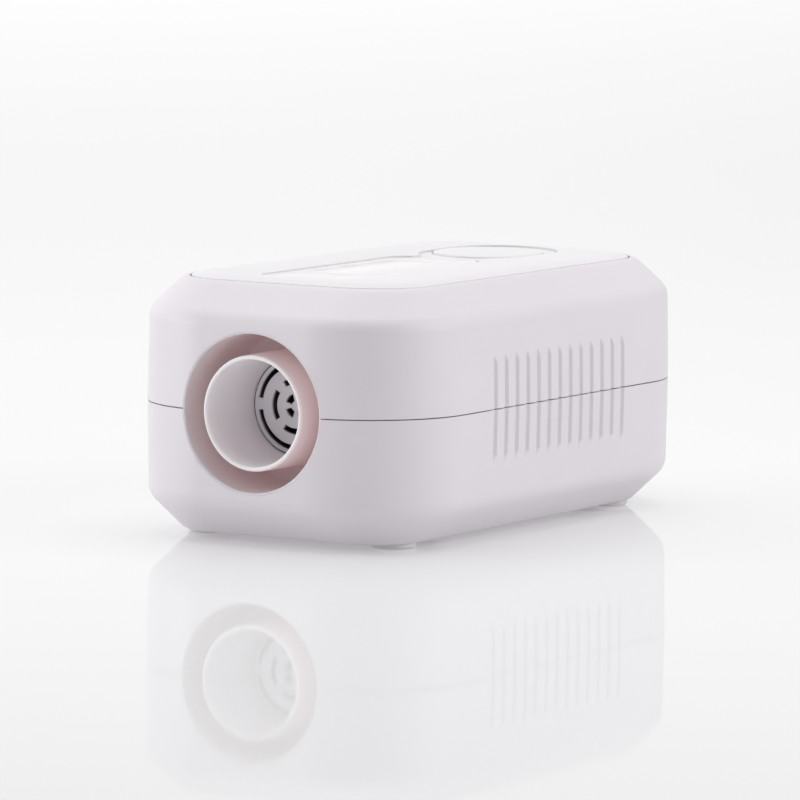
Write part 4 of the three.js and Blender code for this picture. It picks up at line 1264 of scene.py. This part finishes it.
def camera():
    """Looks at the case from the front right, from a little above, through a long lens."""
    azimuth, elevation, roll = math.radians(31.75), math.radians(6.32), math.radians(0.51)
    distance, lens = 1327 * MM, 306.2
    right = Vector((math.cos(azimuth), math.sin(azimuth), 0))
    level_back = Vector((math.sin(azimuth), -math.cos(azimuth), 0))
    back = level_back * math.cos(elevation) + Vector((0, 0, math.sin(elevation)))
    up = back.cross(right)
    aim = (Vector((0, 0, 23.14)) - right * 2.43 - up * 0.16) * MM
    turned_right = right * math.cos(roll) + up * math.sin(roll)
    turned_up = up * math.cos(roll) - right * math.sin(roll)
    data = bpy.data.cameras.new("camera")
    data.lens = lens
    data.clip_start, data.clip_end = 0.05, 50
    eye = bpy.data.objects.new("camera", data)
    turn = Matrix((turned_right, turned_up, back)).transposed()
    eye.matrix_world = Matrix.Translation(aim + back * distance) @ turn.to_4x4()
    bpy.context.scene.collection.objects.link(eye)
    bpy.context.scene.camera = eye


# The surround: the middle of each soft patch of light, how narrow it is, and its strength.
PATCHES = (
    ((-1.0, -0.25, 0.25), 3, 1.00),
    ((1.0, 0.25, 0.25), 3, 0.56),
    ((-0.526, 0.85, 0.1), 3, 0.33),
    ((-0.526, 0.85, 0.0), 40, 0.43),
)


def studio():
    """A white surround, lit in a few soft patches and dark between them."""
    world = bpy.data.worlds.new("studio")
    bpy.context.scene.world = world
    world.use_nodes = True
    background = world.node_tree.nodes["Background"]
    background.inputs["Color"].default_value = (1, 1, 1, 1)
    place = node(world, "TexCoord").outputs["Generated"]
    total = 0.0
    for toward, narrowness, strength in PATCHES:
        dot = calculated(world, "VectorMath", "DOT_PRODUCT", place, Vector(toward).normalized())
        half = calculated(world, "Math", "MULTIPLY_ADD", dot, 0.5, 0.5)
        lobe = calculated(world, "Math", "POWER", half, narrowness)
        total = calculated(world, "Math", "MULTIPLY_ADD", lobe, strength, total)
    feed(world, background.inputs["Strength"], total)


def softbox(name, place, aim, size, power):
    """A rectangular lamp that points at its aim."""
    data = bpy.data.lights.new(name, "AREA")
    data.shape = "RECTANGLE"
    data.size, data.size_y = size
    data.energy = power
    light = bpy.data.objects.new(name, data)
    light.location = place
    light.rotation_euler = (Vector(aim) - Vector(place)).to_track_quat("-Z", "Y").to_euler()
    bpy.context.scene.collection.objects.link(light)


def light_table():
    """A glossy white acrylic sheet, lit a little from below."""
    bm = bmesh.new()
    half = 6000
    for x, y in ((-half, -half), (half, -half), (half, half), (-half, half)):
        bm.verts.new((x, y, -0.02))
    bm.faces.new(bm.verts)
    sheet = finish_mesh("floor", bm)
    material, main = shader("floor_white", (0.6, 0.6, 0.61), 0.035, IOR=1.1)
    main.inputs["Emission Color"].default_value = (1, 1, 1, 1)
    main.inputs["Emission Strength"].default_value = 0.21
    sheet.data.materials.append(material)


# ---------------------------------------------------------------- the assembly

camera()
studio()
light_table()
softbox("left", (-0.55, -0.35, 0.30), (0, -0.02, 0.02), (0.6, 0.6), 0.62)
softbox("right", (0.65, 0.15, 0.30), (0, 0, 0.02), (0.6, 0.6), 1.82)
softbox("top", (0.0, 0.1, 0.8), (0, 0, 0.02), (0.8, 0.8), 2.84)
softbox("low_left", (-0.5, -0.45, 0.08), (0, -0.05, 0.02), (0.3, 0.15), 0.79)

for name, piece in frame["nodes"].items():
    dress(piece, name)

for make in (
    top_cover, bottom_case, outlet_port, outlet_grille,
    control_overlay, display_lens, centre_button, control_deck,
):
    stand_for(make(), make.__name__)
for name, end in (("front_button", -1), ("rear_button", 1)):
    stand_for(crescent_button(name, end), name)
for make in (
    filter_cover, dc_socket, dc_pin, usb_socket, impeller, motor_shaft, rotor_magnet, motor_cap,
    outlet_coupling, pressure_tube, motor_cable, filter_pad, silencer_foam,
):
    stand_for(make(), make.__name__)
for make, names in (
    (foot, [f"foot_{corner}" for corner in CORNERS]),
    (case_screw, [f"case_screw_{corner}" for corner in CORNERS]),
    (board_screw, BOARD_SCREWS),
    (bearing, ["lower_bearing", "upper_bearing"]),
    (blower_mount, MOUNTS),
    (capacitor, ["capacitor_left", "capacitor_right"]),
    (plunger, ["front_plunger", "centre_plunger", "rear_plunger"]),
):
    for name in names:
        stand_for(make(name), name)
for name in (
    "blower_lower_casing", "blower_upper_casing", "stator_core", "main_board", "button_board",
    "display_module", "processor_chip", "motor_driver_chip", "motor_connector",
    "front_switch", "centre_switch", "rear_switch",
):
    rounded_edges(frame["nodes"][name], 0.12)

bpy.context.scene.view_settings.view_transform = "Standard"
